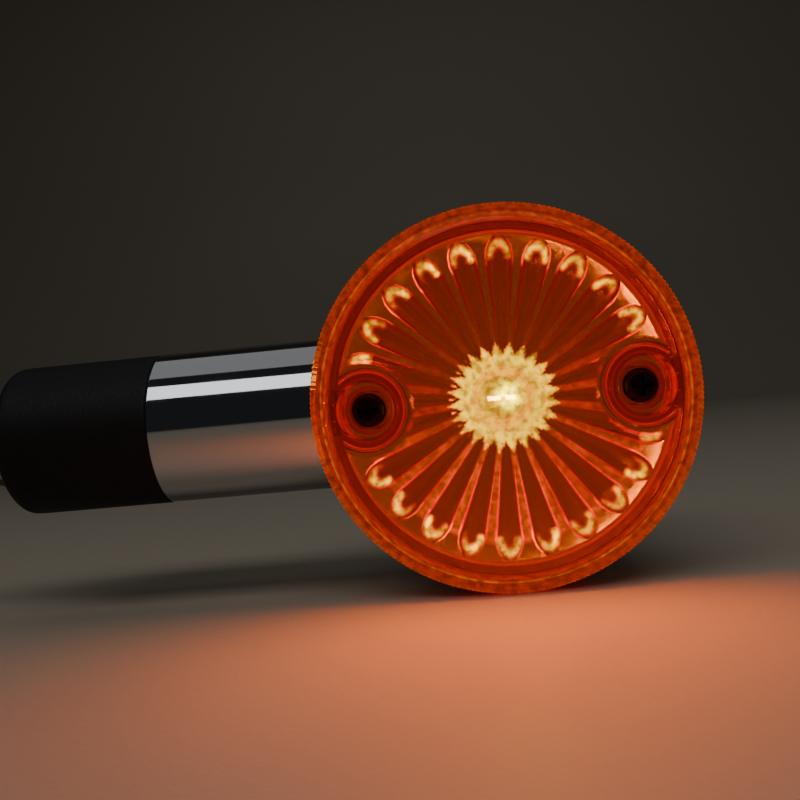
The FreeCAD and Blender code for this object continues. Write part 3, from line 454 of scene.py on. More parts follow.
def moulded_rubber(colours):
    """EPDM rubber moulded in a spark-eroded tool: deep black, matte, with a fine even grain."""
    material, tree, shader = new_finish("moulded_epdm_rubber", colours.rubber, 0.6)
    shader.inputs["Specular IOR Level"].default_value = 0.35
    mottle(tree, shader, 0.45 * MM, roughness=(0.52, 0.72), relief=0.05 * MM)
    return material


def nitrile_rubber(_):
    """Soft nitrile seal: dark grey and dull."""
    material, tree, shader = new_finish("nitrile_seal_rubber", srgb("#1C1B1B"), 0.7)
    mottle(tree, shader, 0.4 * MM, roughness=(0.6, 0.8), shades=(srgb("#171616"), srgb("#222121")))
    return material


def amber_acrylic(colours):
    """Injection moulded acrylic, clear through: colour deepens with thickness, so thin walls glow yellow
    and the edge looks red. The whole lens also emits a faint painted red glow, and a painted glow read
    from a mesh attribute, which turns from red to yellow as it grows; a fine ripple in the moulding breaks
    it up."""
    material, tree, shader = new_finish(
        "amber_moulded_acrylic", (1, 1, 1, 1), 0.03, IOR=1.49, Transmission_Weight=1.0
    )
    volume = add(
        tree, "ShaderNodeVolumeAbsorption", {"Color": colours.amber, "Density": colours.amber_depth}
    )
    tree.links.new(volume.outputs["Volume"], tree.nodes["Material Output"].inputs["Volume"])
    mottled = mottle(tree, shader, 1.6 * MM, relief=0.012 * MM).outputs["Fac"]
    # painted glow: emission colour and strength follow a painted point attribute, not the bulb's light
    painted_glow_level = add(tree, "ShaderNodeAttribute", attribute_name="painted_lens_glow").outputs["Fac"]
    tint = add(tree, "ShaderNodeValToRGB", {"Fac": painted_glow_level})
    tint.color_ramp.elements[0].color = colours.painted_inner_glow
    tint.color_ramp.elements[0].position = RED_UP_TO
    tint.color_ramp.elements[1].color = colours.painted_bright_glow
    tint.color_ramp.elements[1].position = YELLOW_FROM
    dapple = add(
        tree,
        "ShaderNodeMapRange",
        {"Value": mottled, "From Min": 0.38, "From Max": 0.62, "To Min": DAPPLE[0], "To Max": DAPPLE[1]},
    ).outputs["Result"]
    uneven = add(tree, "ShaderNodeMath", {0: painted_glow_level, 1: dapple}, operation="MULTIPLY")
    power = add(
        tree,
        "ShaderNodeMapRange",
        {
            "Value": uneven.outputs["Value"],
            "To Min": colours.painted_inner_glow_strength,
            "To Max": colours.painted_bright_glow_strength,
        },
        clamp=False,
    )
    tree.links.new(tint.outputs["Color"], shader.inputs["Emission Color"])
    tree.links.new(power.outputs["Result"], shader.inputs["Emission Strength"])
    return material


def zinc_plate(_):
    """Zinc plated and passivated mild steel: silver grey with a faint straw and blue bloom."""
    material, tree, shader = new_finish("zinc_plated_steel", srgb("#A9ACAB"), 0.35, 1.0)
    mottle(tree, shader, 3 * MM, roughness=(0.28, 0.45), shades=(srgb("#9EA4A8"), srgb("#B7B4A6")))
    return material


def black_oxide(_):
    """Blackened alloy steel: near black with a dull oily sheen."""
    material, tree, shader = new_finish("black_oxide_steel", srgb("#2A2A2B"), 0.4, 1.0)
    mottle(tree, shader, 0.6 * MM, roughness=(0.32, 0.5), shades=(srgb("#242425"), srgb("#333334")))
    return material


def phosphated_screw(_):
    """Phosphated screw, cold headed and oiled: nearly black, with a low sheen on its edges."""
    material, tree, shader = new_finish("phosphated_screw_steel", srgb("#3A3735"), 0.4, 1.0)
    shades = (srgb("#312E2C"), srgb("#44403D"))
    mottle(tree, shader, 0.5 * MM, roughness=(0.32, 0.5), shades=shades, stretch=(1, 0.2, 1))
    return material


def metallised_dish(_):
    """Aluminium vacuum-metallised on plastic: bright, with a soft ripple from the moulding."""
    material, tree, shader = new_finish("vacuum_metallised_dish", srgb("#5E5A54"), 0.1, 1.0)
    mottle(tree, shader, 5 * MM, roughness=(0.06, 0.14), relief=0.02 * MM)
    return material


def nickel_plate(_):
    """Nickel plated pressed steel: warm grey satin."""
    material, tree, shader = new_finish("nickel_plated_steel", srgb("#B5AFA4"), 0.3, 1.0)
    mottle(tree, shader, 1.2 * MM, roughness=(0.22, 0.4), shades=(srgb("#A8A297"), srgb("#BFBAB0")))
    return material


def music_wire(_):
    """Drawn spring wire: dark grey with lines along the draw."""
    material, tree, shader = new_finish("drawn_spring_wire", srgb("#7C7D80"), 0.35, 1.0)
    mottle(tree, shader, 0.25 * MM, roughness=(0.25, 0.45), shades=(srgb("#6E6F72"), srgb("#8A8B8E")))
    return material


def hot_tungsten(colours):
    """Coiled tungsten at working heat: white with a warm edge."""
    material, tree, shader = new_finish("glowing_tungsten", srgb("#8E8A84"), 0.5, 1.0)
    shader.inputs["Emission Color"].default_value = srgb("#FFD9A0")
    shader.inputs["Emission Strength"].default_value = colours.filament_glow
    mottle(tree, shader, 0.2 * MM, roughness=(0.4, 0.6))
    return material


def stamped_brass(_):
    """Stamped brass strip: yellow, slightly tarnished between the rolling lines."""
    material, tree, shader = new_finish("stamped_brass", srgb("#C9A763"), 0.3, 1.0)
    shades = (srgb("#B3914F"), srgb("#CFAF6E"))
    mottle(tree, shader, 0.7 * MM, roughness=(0.25, 0.42), shades=shades, stretch=(0.3, 1, 1))
    return material


def washed_brass(_):
    """Nickel-washed brass bulb cap: pale and satin, brass showing through."""
    material, tree, shader = new_finish("nickel_washed_brass", srgb("#BFB28F"), 0.32, 1.0)
    mottle(tree, shader, 1.5 * MM, roughness=(0.25, 0.4), shades=(srgb("#B9A67A"), srgb("#C4BCA4")))
    return material


def phenolic_board(_):
    """Paper phenolic board: brown, with darker fibres and a low resin gloss."""
    material, tree, shader = new_finish("paper_phenolic_board", srgb("#6B4226"), 0.45)
    shades = (srgb("#57331C"), srgb("#7A4E2E"))
    mottle(tree, shader, 0.9 * MM, roughness=(0.4, 0.6), shades=shades, stretch=(1, 1, 4))
    return material


def lead_pvc(name, colour, darker):
    """Extruded PVC wire cover: even colour, waxy gloss and a faint extrusion ripple."""
    material, tree, shader = new_finish(name, colour, 0.4)
    mottle(tree, shader, 1.0 * MM, roughness=(0.32, 0.46), shades=(darker, colour), relief=0.01 * MM)
    return material


def orange_lead(_):
    """Feed wire: warm orange PVC."""
    return lead_pvc("orange_wire_pvc", srgb("#D8741E"), srgb("#CC6A18"))


def green_lead(_):
    """Earth wire: mid green PVC."""
    return lead_pvc("green_wire_pvc", srgb("#2F7D3B"), srgb("#286F33"))


def blown_glass(colours):
    """Thin blown soda glass, lit from within: clear, with a warm haze that grows from the tip
    towards the cap, where the glass is thickest."""
    material, tree, shader = new_finish(
        "blown_soda_glass", (1, 1, 1, 1), 0.02, IOR=1.5, Transmission_Weight=1.0
    )
    place = add(tree, "ShaderNodeTexCoord").outputs["Object"]
    tip = (LAMP_X, GLOBE_LOW.y, 0.0)
    reach = add(tree, "ShaderNodeVectorMath", {0: place, 1: tip}, operation="DISTANCE")
    fade = add(
        tree,
        "ShaderNodeMapRange",
        {
            "Value": reach.outputs["Value"],
            "From Min": 0.0,
            "From Max": HAZE_REACH * GLOBE_RADIUS,
            "To Min": colours.glow,
            "To Max": colours.glow * HAZE_RISE,
        },
        interpolation_type="SMOOTHSTEP",
    )
    shader.inputs["Emission Color"].default_value = srgb("#FFF08C")
    tree.links.new(fade.outputs["Result"], shader.inputs["Emission Strength"])
    return material


def foot_glass(_):
    """Pressed glass foot of the bulb: clear, slightly wavy."""
    material, tree, shader = new_finish(
        "pressed_stem_glass", (1, 1, 1, 1), 0.03, IOR=1.5, Transmission_Weight=1.0
    )
    mottle(tree, shader, 1.5 * MM, relief=0.02 * MM)
    return material


def black_vitrite(_):
    """Black glass insulator: glossy, almost black, with a purple cast."""
    material, tree, shader = new_finish("black_vitrite_glass", srgb("#0D0B10"), 0.12, IOR=1.55)
    mottle(tree, shader, 1.2 * MM, roughness=(0.08, 0.2))
    return material


def tinned_solder(_):
    """Drop of tin solder: light grey, wrinkled as it froze."""
    material, tree, shader = new_finish("tinned_solder", srgb("#B9BABC"), 0.35, 1.0)
    shades = (srgb("#A9AAAC"), srgb("#C6C7C8"))
    mottle(tree, shader, 0.8 * MM, roughness=(0.25, 0.5), shades=shades, relief=0.05 * MM)
    return material


def studio_floor(colours):
    """Painted studio sweep: pale, even, with a low sheen and fine roller grain."""
    material, tree, shader = new_finish("painted_studio_sweep", colours.floor, 0.42)
    mottle(tree, shader, 1.1 * MM, roughness=(0.36, 0.5), relief=0.06 * MM)
    return material


FINISHES = {
    "chrome_plate": chrome_plate,
    "black_rubber": moulded_rubber,
    "gasket_rubber": nitrile_rubber,
    "amber_lens": amber_acrylic,
    "zinc_steel": zinc_plate,
    "black_steel": black_oxide,
    "screw_steel": phosphated_screw,
    "reflector_bright": metallised_dish,
    "nickel_steel": nickel_plate,
    "spring_steel": music_wire,
    "tungsten": hot_tungsten,
    "brass": stamped_brass,
    "bulb_brass": washed_brass,
    "phenolic": phenolic_board,
    "orange_pvc": orange_lead,
    "green_pvc": green_lead,
    "clear_glass": blown_glass,
    "black_glass": black_vitrite,
    "solder": tinned_solder,
}
made_finishes = {}


def finish(slot):
    """The slot's material, made the first time it is asked for."""
    if slot not in made_finishes:
        made_finishes[slot] = FINISHES[slot](bpy.context.scene.indicator_colours)
    return made_finishes[slot]


# ---- lens ----------------------------------------------------------------------------------
def circle(radius, count, turn=0.0, centre=0.0):
    """Plan points round a circle: the radius times the cosine and sine of equal steps of angle."""
    angle = turn + np.arange(count) * (FULL_TURN / count)
    return np.stack([centre + radius * np.cos(angle), radius * np.sin(angle)], axis=1)


def well_distance(plan):
    """Distance of each plan point from the nearer screw well's middle."""
    return np.minimum(
        np.hypot(plan[:, 0] - WELL_X, plan[:, 1]), np.hypot(plan[:, 0] + WELL_X, plan[:, 1])
    )


def smoothstep(value):
    """Nought below nought, one above one, and three squares less two cubes between."""
    value = np.clip(value, 0, 1)
    return value * value * (3 - 2 * value)


def clear_of_wells(plan):
    """Nought round each screw well, rising smoothly to one outside its rings."""
    return smoothstep((well_distance(plan) - WELL_RING_RADIUS) / WELL_FADE)


def fluted_circle(radius, count, per_flute, share):
    """Plan points round a circle, spaced evenly over each flute and evenly over each land between
    two flutes, how many of them each flute takes, and how many a flute and its land take together.
    The first lies on a flute's edge."""
    on_flute = max(1, round(per_flute * share))
    on_land = max(1, per_flute - on_flute)
    flute = np.arange(on_flute) / on_flute * share - share / 2
    land = np.arange(on_land) / on_land * (1 - share) + share / 2
    offset = np.concatenate([flute, land])
    angle = FLUTE_TURN + (np.arange(count)[:, None] + offset[None, :]).ravel() * FULL_TURN / count
    ring = np.stack([radius * np.cos(angle), radius * np.sin(angle)], axis=1)
    return ring, on_flute, on_flute + on_land


def flute_angle(plan, count):
    """Angle of each plan point from the middle of its own flute."""
    pitch = FULL_TURN / count
    angle = np.arctan2(plan[:, 1], plan[:, 0]) - FLUTE_TURN
    return (angle + pitch / 2) % pitch - pitch / 2


def flute_reach(plan, sizes):
    """How far across its flute each point lies: nought on the middle line, one on the flute's edge
    or on the half ellipses that round off its two ends."""
    radius = np.hypot(plan[:, 0], plan[:, 1])
    half = sizes.flute_share * math.pi / sizes.flute_count
    across = radius * flute_angle(plan, sizes.flute_count)
    held = np.clip(radius, FLUTE_INNER_RADIUS, FLUTE_OUTER_RADIUS)
    beyond = np.where(
        radius > held,
        (radius - held) / (FLUTE_TIP_RADIUS - FLUTE_OUTER_RADIUS),
        (held - radius) / FLUTE_INNER_END,
    )
    return np.hypot(across / (held * half), beyond)


def flutes(plan, sizes):
    """Height of the flutes: their rise times their width, times an ellipse's height over the reach,
    faded out round each screw well."""
    radius = np.hypot(plan[:, 0], plan[:, 1])
    held = np.clip(radius, FLUTE_INNER_RADIUS, FLUTE_OUTER_RADIUS)
    width = 2 * held * sizes.flute_share * math.pi / sizes.flute_count
    reach = np.minimum(flute_reach(plan, sizes), 1)
    edge = math.sqrt(1 - FLUTE_ROUNDNESS**2)
    shape = (np.sqrt(1 - (FLUTE_ROUNDNESS * reach) ** 2) - edge) / (1 - edge)
    return sizes.flute_rise * width * shape * clear_of_wells(plan)


def lens_front(plan):
    """Front of the lens as Y: a dome that falls with the radius squared, a straight shoulder down to
    the flange, a low bead whose section is a bell curve, fine grooves in the flange, and a tapered
    well round each screw."""
    rim_y = CROWN_Y + CROWN
    radius = np.hypot(plan[:, 0], plan[:, 1])
    dome = rim_y - SHOULDER - (CROWN - SHOULDER) * (1 - (radius / FACE_RADIUS) ** 2)
    foot_y = rim_y - BEAD_HEIGHT * math.exp(-(((SHOULDER_RADIUS - BEAD_RADIUS) / BEAD_WIDTH) ** 2))
    down = (SHOULDER_RADIUS - radius) / (SHOULDER_RADIUS - FACE_RADIUS)
    slope = foot_y + (rim_y - SHOULDER - foot_y) * down
    angle = np.arctan2(plan[:, 1], plan[:, 0])
    groove = TOOTH_GROOVE * (1 + np.cos(RIM_TEETH * angle)) / 2
    bead = BEAD_HEIGHT * np.exp(-(((radius - BEAD_RADIUS) / BEAD_WIDTH) ** 2))
    flange = rim_y + groove * smoothstep((radius - BEAD_RADIUS - BEAD_WIDTH) / GROOVE_FADE) - bead
    face = np.where(radius < FACE_RADIUS, dome, np.where(radius < SHOULDER_RADIUS, slope, flange))
    away = well_distance(plan)
    well = WELL_FLOOR_Y - np.maximum(away - WELL_RADIUS, 0) * WELL_SLOPE
    return np.maximum(face, np.where(away < BOSS_RADIUS, well, face))


def lens_back(plan, sizes):
    """Back of the lens as Y: the dome moved back by the wall, less the bull's-eye hollow, plus the
    flutes, a curved rise round each boss, the boss's cone, the spigot and the flange's seat."""
    radius = np.hypot(plan[:, 0], plan[:, 1])
    away = well_distance(plan)
    rim_y = CROWN_Y + CROWN
    wall = rim_y - SHOULDER - (CROWN - SHOULDER) * (1 - (radius / FACE_RADIUS) ** 2) + sizes.lens_wall
    wall = wall - sizes.bullseye_hollow * np.maximum(1 - (radius / BULLSEYE_RADIUS) ** 2, 0)
    wall = wall + flutes(plan, sizes)
    rise = np.clip((WELL_RING_RADIUS - away) / (WELL_RING_RADIUS - BOSS_RADIUS), 0, 1)
    wall = wall + BOSS_RISE * rise**2
    taper = (BOSS_RADIUS - away) / (BOSS_RADIUS - BOSS_REAR_RADIUS)
    boss = WELL_FLOOR_Y + (BOSS_REAR_Y - WELL_FLOOR_Y) * np.clip(taper, 0, 1)
    spigot = np.where(radius < SPIGOT_RADIUS - STEP_GAP / 2, SPIGOT_END_Y, LENS_SEAT_Y - SEAT_GAP)
    back = np.where(radius > SPIGOT_INNER_RADIUS + STEP_GAP / 2, spigot, wall)
    return np.where(away < BOSS_RADIUS, np.maximum(back, boss), back)


def lens_plan(sizes):
    """Plan of the lens inside its flange, as points and triangles: rings a step apart whose points
    fall on every flute's edges, closer rings round the wells, the flutes' end curves, and a
    constrained Delaunay triangulation that keeps flute edges and end curves as edges."""
    count, share = sizes.flute_count, sizes.flute_share
    plain = np.arange(LENS_MESH_STEP, SPIGOT_INNER_RADIUS - LENS_MESH_STEP / 2, LENS_MESH_STEP)
    steps = [SPIGOT_INNER_RADIUS, SPIGOT_INNER_RADIUS + STEP_GAP, SPIGOT_MIDDLE]
    steps += [SPIGOT_RADIUS - STEP_GAP, SPIGOT_RADIUS, FACE_RADIUS]
    radii = np.array([*plain, *steps, *(ring * MM for ring in SLOPE_RINGS)])
    rings, creases = [], []
    total = 1
    for radius in radii:
        per_flute = max(2, round(FULL_TURN * radius / LENS_MESH_STEP / count))
        ring, far_edge, block = fluted_circle(radius, count, per_flute, share)
        first = total + np.arange(count) * block
        creases.append((first, first + far_edge))
        rings.append(ring)
        total += len(ring)
    plan = np.concatenate([np.zeros((1, 2)), *rings])
    inside = [i for i in range(len(plain)) if FLUTE_INNER_RADIUS <= radii[i] <= FLUTE_OUTER_RADIUS]
    edges = [
        np.stack([creases[i][side], creases[i + 1][side]], axis=1) for i in inside[:-1] for side in (0, 1)
    ]
    edges = np.concatenate(edges)
    radius = np.hypot(plan[:, 0], plan[:, 1])
    away = well_distance(plan)
    at_ends = (radius > FLUTE_OUTER_RADIUS + SPIGOT_GAP) & (radius < SPIGOT_INNER_RADIUS)
    near_curve = at_ends & (np.abs(flute_reach(plan, sizes) - 1) < CURVE_GAP)
    by_well = (away < WELL_RING_RADIUS + RING_GAP) & (radius < SPIGOT_INNER_RADIUS - SPIGOT_GAP)
    keep = ~(near_curve | (away < WELL_CLEARING) | by_well)
    renumber = np.cumsum(keep) - 1
    edges = renumber[edges[keep[edges].all(axis=1)]]
    parts = [plan[keep]]
    size = int(keep.sum())

    around = np.radians(np.linspace(-90, 90, CURVE_STEPS))
    reach = FLUTE_OUTER_RADIUS + (FLUTE_TIP_RADIUS - FLUTE_OUTER_RADIUS) * np.cos(around)
    side = share * math.pi / count * FLUTE_OUTER_RADIUS * np.sin(around) / reach
    for index in range(count):
        angle = FLUTE_TURN + index * FULL_TURN / count + side
        curve = np.stack([reach * np.cos(angle), reach * np.sin(angle)], axis=1)
        clear = well_distance(curve) > WELL_RING_RADIUS + RING_GAP
        if clear.all():
            chain = size + np.arange(len(curve) - 1)
            edges = np.concatenate([edges, np.stack([chain, chain + 1], axis=1)])
        parts.append(curve[clear])
        size += int(clear.sum())
    for centre in (-WELL_X, WELL_X):
        for ring in (*WELL_RINGS, *BOSS_RINGS):
            points = circle(ring * MM, WELL_STEPS, 0.0, centre)
            if ring > WHOLE_RING:
                points = points[np.hypot(points[:, 0], points[:, 1]) < SPIGOT_INNER_RADIUS - BOSS_GAP]
            parts.append(points)
    parts.append(circle(SHOULDER_RADIUS, RIM_STEPS))
    plan = np.concatenate(parts)
    points, _, faces, _, _, _ = delaunay_2d_cdt(
        [Vector(point) for point in plan.tolist()], edges.tolist(), [], 0, DELAUNAY_MERGE, False
    )
    plan = np.array([tuple(point) for point in points])
    faces = np.array([face for face in faces if len(face) == 3])
    middle = plan[faces].mean(axis=1)
    return plan, faces[well_distance(middle) > WELL_HOLE_RADIUS]


def strip(low, high, offset):
    """Quads between two rings of points that follow each other in the mesh from an offset."""
    here = np.arange(len(low))
    after = (here + 1) % len(low)
    quads = np.stack([here, after, after + len(low), here + len(low)], axis=1) + offset
    return np.concatenate([low, high]), quads.tolist()


def lens_moulding(sizes):
    """The lens as one closed surface: front and back are two heights over the same plan, joined by
    the outer edge, whose radius falls and rises with each tooth, and by the two screw holes."""
    plan, triangles = lens_plan(sizes)
    angle = np.arange(RIM_STEPS) * FULL_TURN / RIM_STEPS
    edge = LENS_RADIUS - TOOTH_DEPTH * (1 + np.cos(RIM_TEETH * angle)) / 2
    outline = np.stack([edge * np.cos(angle), edge * np.sin(angle)], axis=1)
    bands = [circle(ring * MM, RIM_STEPS) for ring in FLANGE_RINGS] + [outline]
    flange = np.concatenate(bands)
    flange_faces = np.array(grid_faces(len(bands), RIM_STEPS, False))

    def lifted(flat, height):
        return np.stack([LAMP_X + flat[:, 0], height, flat[:, 1]], axis=1)

    points, faces, offset = [], [], 0
    for flat, shapes in ((plan, triangles), (flange, flange_faces)):
        for height, order in ((lens_front(flat), 1), (lens_back(flat, sizes), -1)):
            points.append(lifted(flat, height))
            faces += (shapes[:, ::order] + offset).tolist()
            offset += len(flat)
    walls = [outline] + [circle(WELL_HOLE_RADIUS, WELL_STEPS, 0.0, x) for x in (-WELL_X, WELL_X)]
    for ring in walls:
        band, quads = strip(lifted(ring, lens_front(ring)), lifted(ring, lens_back(ring, sizes)), offset)
        points.append(band)
        faces += quads
        offset += len(band)
    return np.concatenate(points), faces


def painted_lens_glow(points, sizes):
    """Painted glow on the lens, standing in for the bulb's light that the moulding gathers. On the inner
    face: a bell curve of the reach across each flute's rounded outer end, stronger on one side of some
    flutes than of others; the lands, brighter towards the bottom; a star with a point on each land, dimmer
    in its middle; and a painted hot spot, a bell curve of the distance from where the filament shines
    through. On the front: faint painted highlights on the bead and the rim."""
    plan = np.stack([points[:, 0] - LAMP_X, points[:, 2]], axis=1)
    radius = np.hypot(plan[:, 0], plan[:, 1])
    count = sizes.flute_count
    behind = points[:, 1] > lens_front(plan) + BEHIND
    reach = flute_reach(plan, sizes)
    angle = flute_angle(plan, count)
    own = np.arctan2(plan[:, 1], plan[:, 0]) - FLUTE_TURN
    index = np.round(own / (FULL_TURN / count)).astype(int) % count
    chance = np.random.default_rng(PAINTED_GLOW_SEED)
    strength = chance.uniform(PAINTED_GLOW_LEAST, PAINTED_GLOW_MOST, count)[index]
    lean = chance.uniform(-1.0, 1.0, count)[index]
    beyond = (radius - FLUTE_OUTER_RADIUS) / (FLUTE_TIP_RADIUS - FLUTE_OUTER_RADIUS)
    side = angle * count / (math.pi * sizes.flute_share)
    ends = np.exp(-(((reach - PAINTED_GLOW_REACH) / PAINTED_GLOW_SPREAD) ** 2)) * strength
    ends *= smoothstep((beyond - PAINTED_GLOW_START) / PAINTED_GLOW_FADE) * np.clip(0.5 + lean * side, 0.0, 1.0)
    lands = PAINTED_LAND_GLOW * smoothstep((reach - LAND_START) / LAND_BLUR) * strength
    lands *= smoothstep(LAND_LEVEL - plan[:, 1] / FLUTE_OUTER_RADIUS)
    lands *= smoothstep((LAND_FADE - beyond) / LAND_FADE)
    star_edge = STAR_FOOT + (STAR_TIP - STAR_FOOT) * np.abs(angle) * count / math.pi
    middle = smoothstep((STAR_MIDDLE - radius) / STAR_MIDDLE_BLUR + 0.5)
    star = PAINTED_STAR_GLOW + (PAINTED_STAR_MIDDLE_GLOW - PAINTED_STAR_GLOW) * middle
    star *= smoothstep((star_edge - radius) / STAR_BLUR + 0.5)
    from_hot = np.hypot(plan[:, 0] - PAINTED_HOT_SPOT[0], plan[:, 1] - PAINTED_HOT_SPOT[1])
    hot = PAINTED_HOT_SPOT_GLOW * np.exp(-((from_hot / PAINTED_HOT_SPOT_RADIUS) ** 2))
    rear = np.maximum(np.maximum(ends, lands) * clear_of_wells(plan), np.maximum(star, hot))
    # painted highlights on the front's bead and rim
    bead = PAINTED_BEAD_HIGHLIGHT * np.exp(-(((radius - BEAD_RADIUS) / BEAD_WIDTH) ** 2))
    rim = PAINTED_RIM_HIGHLIGHT * smoothstep((radius - FACE_RADIUS) / MM)
    return np.where(behind, rear, np.maximum(bead, rim))


# ---- damper, stud, spring and coil ---------------------------------------------------------
def damper_surface():
    """The damper turned about the arm's axis: a closed profile of X and radius, whose outside
    carries a low ridge where the mould parts, a bell curve of the distance round from the top and
    bottom lines."""
    outer = DAMPER_HIGH.z
    plate_edge = PLATE_HIGH.z
    head_radius = STUD_HIGH.z
    profile = [(DAMPER_LOW.x, plate_edge), (PLATE_HIGH.x, plate_edge), (PLATE_HIGH.x, head_radius)]
    profile += [(STUD_HIGH.x, head_radius), (STUD_HIGH.x, DAMPER_BORE)]
    profile += [(x, DAMPER_BORE) for x in np.linspace(STUD_HIGH.x, DAMPER_HIGH.x, DAMPER_BORE_RINGS)[1:]]
    arm_corner = (DAMPER_HIGH.x - DAMPER_ARM_ROUND, outer - DAMPER_ARM_ROUND)
    profile += arc(arm_corner, DAMPER_ARM_ROUND, 0, 90)
    seat_corner = (DAMPER_LOW.x + DAMPER_SEAT_ROUND, outer - DAMPER_SEAT_ROUND)
    between = np.linspace(arm_corner[0], seat_corner[0], DAMPER_OUTER_RINGS)[1:-1]
    profile += [(x, outer) for x in between]
    profile += arc(seat_corner, DAMPER_SEAT_ROUND, 90, 180, 13)
    x, radius = np.array(profile).T
    angle = np.arange(DAMPER_STEPS) * FULL_TURN / DAMPER_STEPS
    around = np.minimum(np.abs(angle - math.pi / 2), np.abs(angle - 3 * math.pi / 2)) * outer
    ridge = PARTING_HEIGHT * np.exp(-((around / PARTING_WIDTH) ** 2))
    proud = np.where(radius > plate_edge + MM, 1.0, 0.0)
    grown = radius[:, None] + proud[:, None] * ridge[None, :]
    return round_x(x[:, None], grown, angle[None, :]), grid_faces(len(x), len(angle), True)


def stud_surface(sizes):
    """The hollow stud turned about the arm's axis. Over the thread the radius is the crest less the
    thread's depth times a wave of X over the pitch less the angle over a full turn, cut down at the
    tip's chamfer and run out at the neck."""
    pitch = sizes.thread_pitch
    depth = THREAD_DEPTH * pitch
    angle = np.arange(STUD_STEPS) * FULL_TURN / STUD_STEPS
    x = np.arange(STUD_LOW.x, -THREAD_STEP / 2, THREAD_STEP)[:, None]
    phase = (x / pitch - angle[None, :] / FULL_TURN) % 1
    wave = np.clip(FLANK_SLOPE * np.abs(2 * phase - 1) - CREST_FLAT, 0, 1)
    run_out = 1 - smoothstep((x + THREAD_RUN_OUT * pitch) / pitch)
    thread = STUD_THREAD - depth * wave * run_out
    tip = STUD_THREAD - STUD_CHAMFER + (x - STUD_LOW.x)
    thread = np.minimum(thread, tip)
    rest = [(0.0, STUD_THREAD), (0.0, STUD_NECK), (PLATE_HIGH.x, STUD_NECK)]
    rest += [(PLATE_HIGH.x, STUD_HIGH.z), (STUD_HIGH.x, STUD_HIGH.z)]
    rest += [(STUD_HIGH.x, STUD_BORE), (STUD_LOW.x, STUD_BORE)]
    rest_x, rest_radius = (np.repeat(row[:, None], STUD_STEPS, axis=1) for row in np.array(rest).T)
    all_x = np.concatenate([np.broadcast_to(x, thread.shape), rest_x])
    all_radius = np.concatenate([thread, rest_radius])
    return round_x(all_x, all_radius, angle[None, :]), grid_faces(len(all_x), STUD_STEPS, True)


def helix(turns, radius, length, steps_per_turn, flat_share=0.0):
    """A helix's middle line about its own first axis: distance along it grows evenly, less a flat
    share at each end, while the other two follow a circle."""
    along = np.linspace(0, 1, int(turns * steps_per_turn) + 1)
    angle = along * turns * FULL_TURN
    climb = smoothstep(along) * flat_share + along * (1 - flat_share)
    return climb * length, radius * np.cos(angle), radius * np.sin(angle)


def spring_surface(sizes):
    """Open coil spring with flattened ends: a round wire along a helix about the lamp's axis."""
    radius = SPRING_HIGH.z - SPRING_WIRE
    length = SPRING_HIGH.y - SPRING_LOW.y - 2 * SPRING_WIRE
    along, across, up = helix(sizes.spring_turns, radius, length, SPRING_STEPS, SPRING_FLAT)
    path = np.stack([LAMP_X + across, SPRING_LOW.y + SPRING_WIRE + along, up], axis=1)
    return wire(path, np.array([0.0, 1.0, 0.0]), SPRING_WIRE)


def coil_surface(sizes):
    """Filament: a fine round wire along a helix that lies level between its two supports."""
    radius = COIL_HIGH.z - COIL_WIRE
    length = COIL_HIGH.x - COIL_LOW.x - 2 * COIL_WIRE
    along, across, up = helix(sizes.coil_turns, radius, length, COIL_STEPS)
    middle_y = (COIL_LOW.y + COIL_HIGH.y) / 2
    path = np.stack([COIL_LOW.x + COIL_WIRE + along, middle_y + across, up], axis=1)
    return wire(path, np.array([1.0, 0.0, 0.0]), COIL_WIRE, COIL_SIDES)


# ---- operators -----------------------------------------------------------------------------
class IndicatorFittings(bpy.types.Operator):
    """Give every CAD piece the finish of its material slot"""

    bl_idname = "indicator.fittings"
    bl_label = "Plated, brass, rubber and glass fittings"

    def execute(self, context):
        for part in frame["record"]["subparts"]:
            material = finish(part["material_slot"])
            if part["node"] == "bulb_stem":
                material = foot_glass(context.scene.indicator_colours)
            for slot in frame["nodes"][part["node"]].material_slots:
                slot.material = material
        return {"FINISHED"}


class IndicatorLens(bpy.types.Operator):
    """Mould the fluted amber lens with its two screw wells and toothed flange"""

    bl_idname = "indicator.lens"
    bl_label = "Fluted lens"

    def execute(self, context):
        points, faces = lens_moulding(context.scene.indicator_sizes)
        made = piece("lens_moulding", points, faces, finish("amber_lens"), 40.0)
        # The lens's painted glow goes into a point attribute that its material emits.
        corners = np.empty(3 * len(made.data.vertices))
        made.data.vertices.foreach_get("co", corners)
        light = painted_lens_glow(corners.reshape(-1, 3), context.scene.indicator_sizes)
        made.data.attributes.new("painted_lens_glow", "FLOAT", "POINT").data.foreach_set("value", light)
        settle(made, "cover", "amber_lens", "lens")
        return {"FINISHED"}


class IndicatorDamper(bpy.types.Operator):
    """Mould the rubber damper that sits between the stud and the arm"""

    bl_idname = "indicator.damper"
    bl_label = "Rubber damper"

    def execute(self, context):
        made = piece("damper_moulding", *damper_surface(), finish("black_rubber"))
        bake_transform(made)
        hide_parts("rubber_damper")
        return {"FINISHED"}


class IndicatorStud(bpy.types.Operator):
    """Cut the thread on the hollow mounting stud"""

    bl_idname = "indicator.stud"
    bl_label = "Threaded stud"

    def execute(self, context):
        surface = stud_surface(context.scene.indicator_sizes)
        made = piece("threaded_stud", *surface, finish("zinc_steel"), 35.0)
        settle(made, "mount", "zinc_steel", "mount_stud")
        return {"FINISHED"}


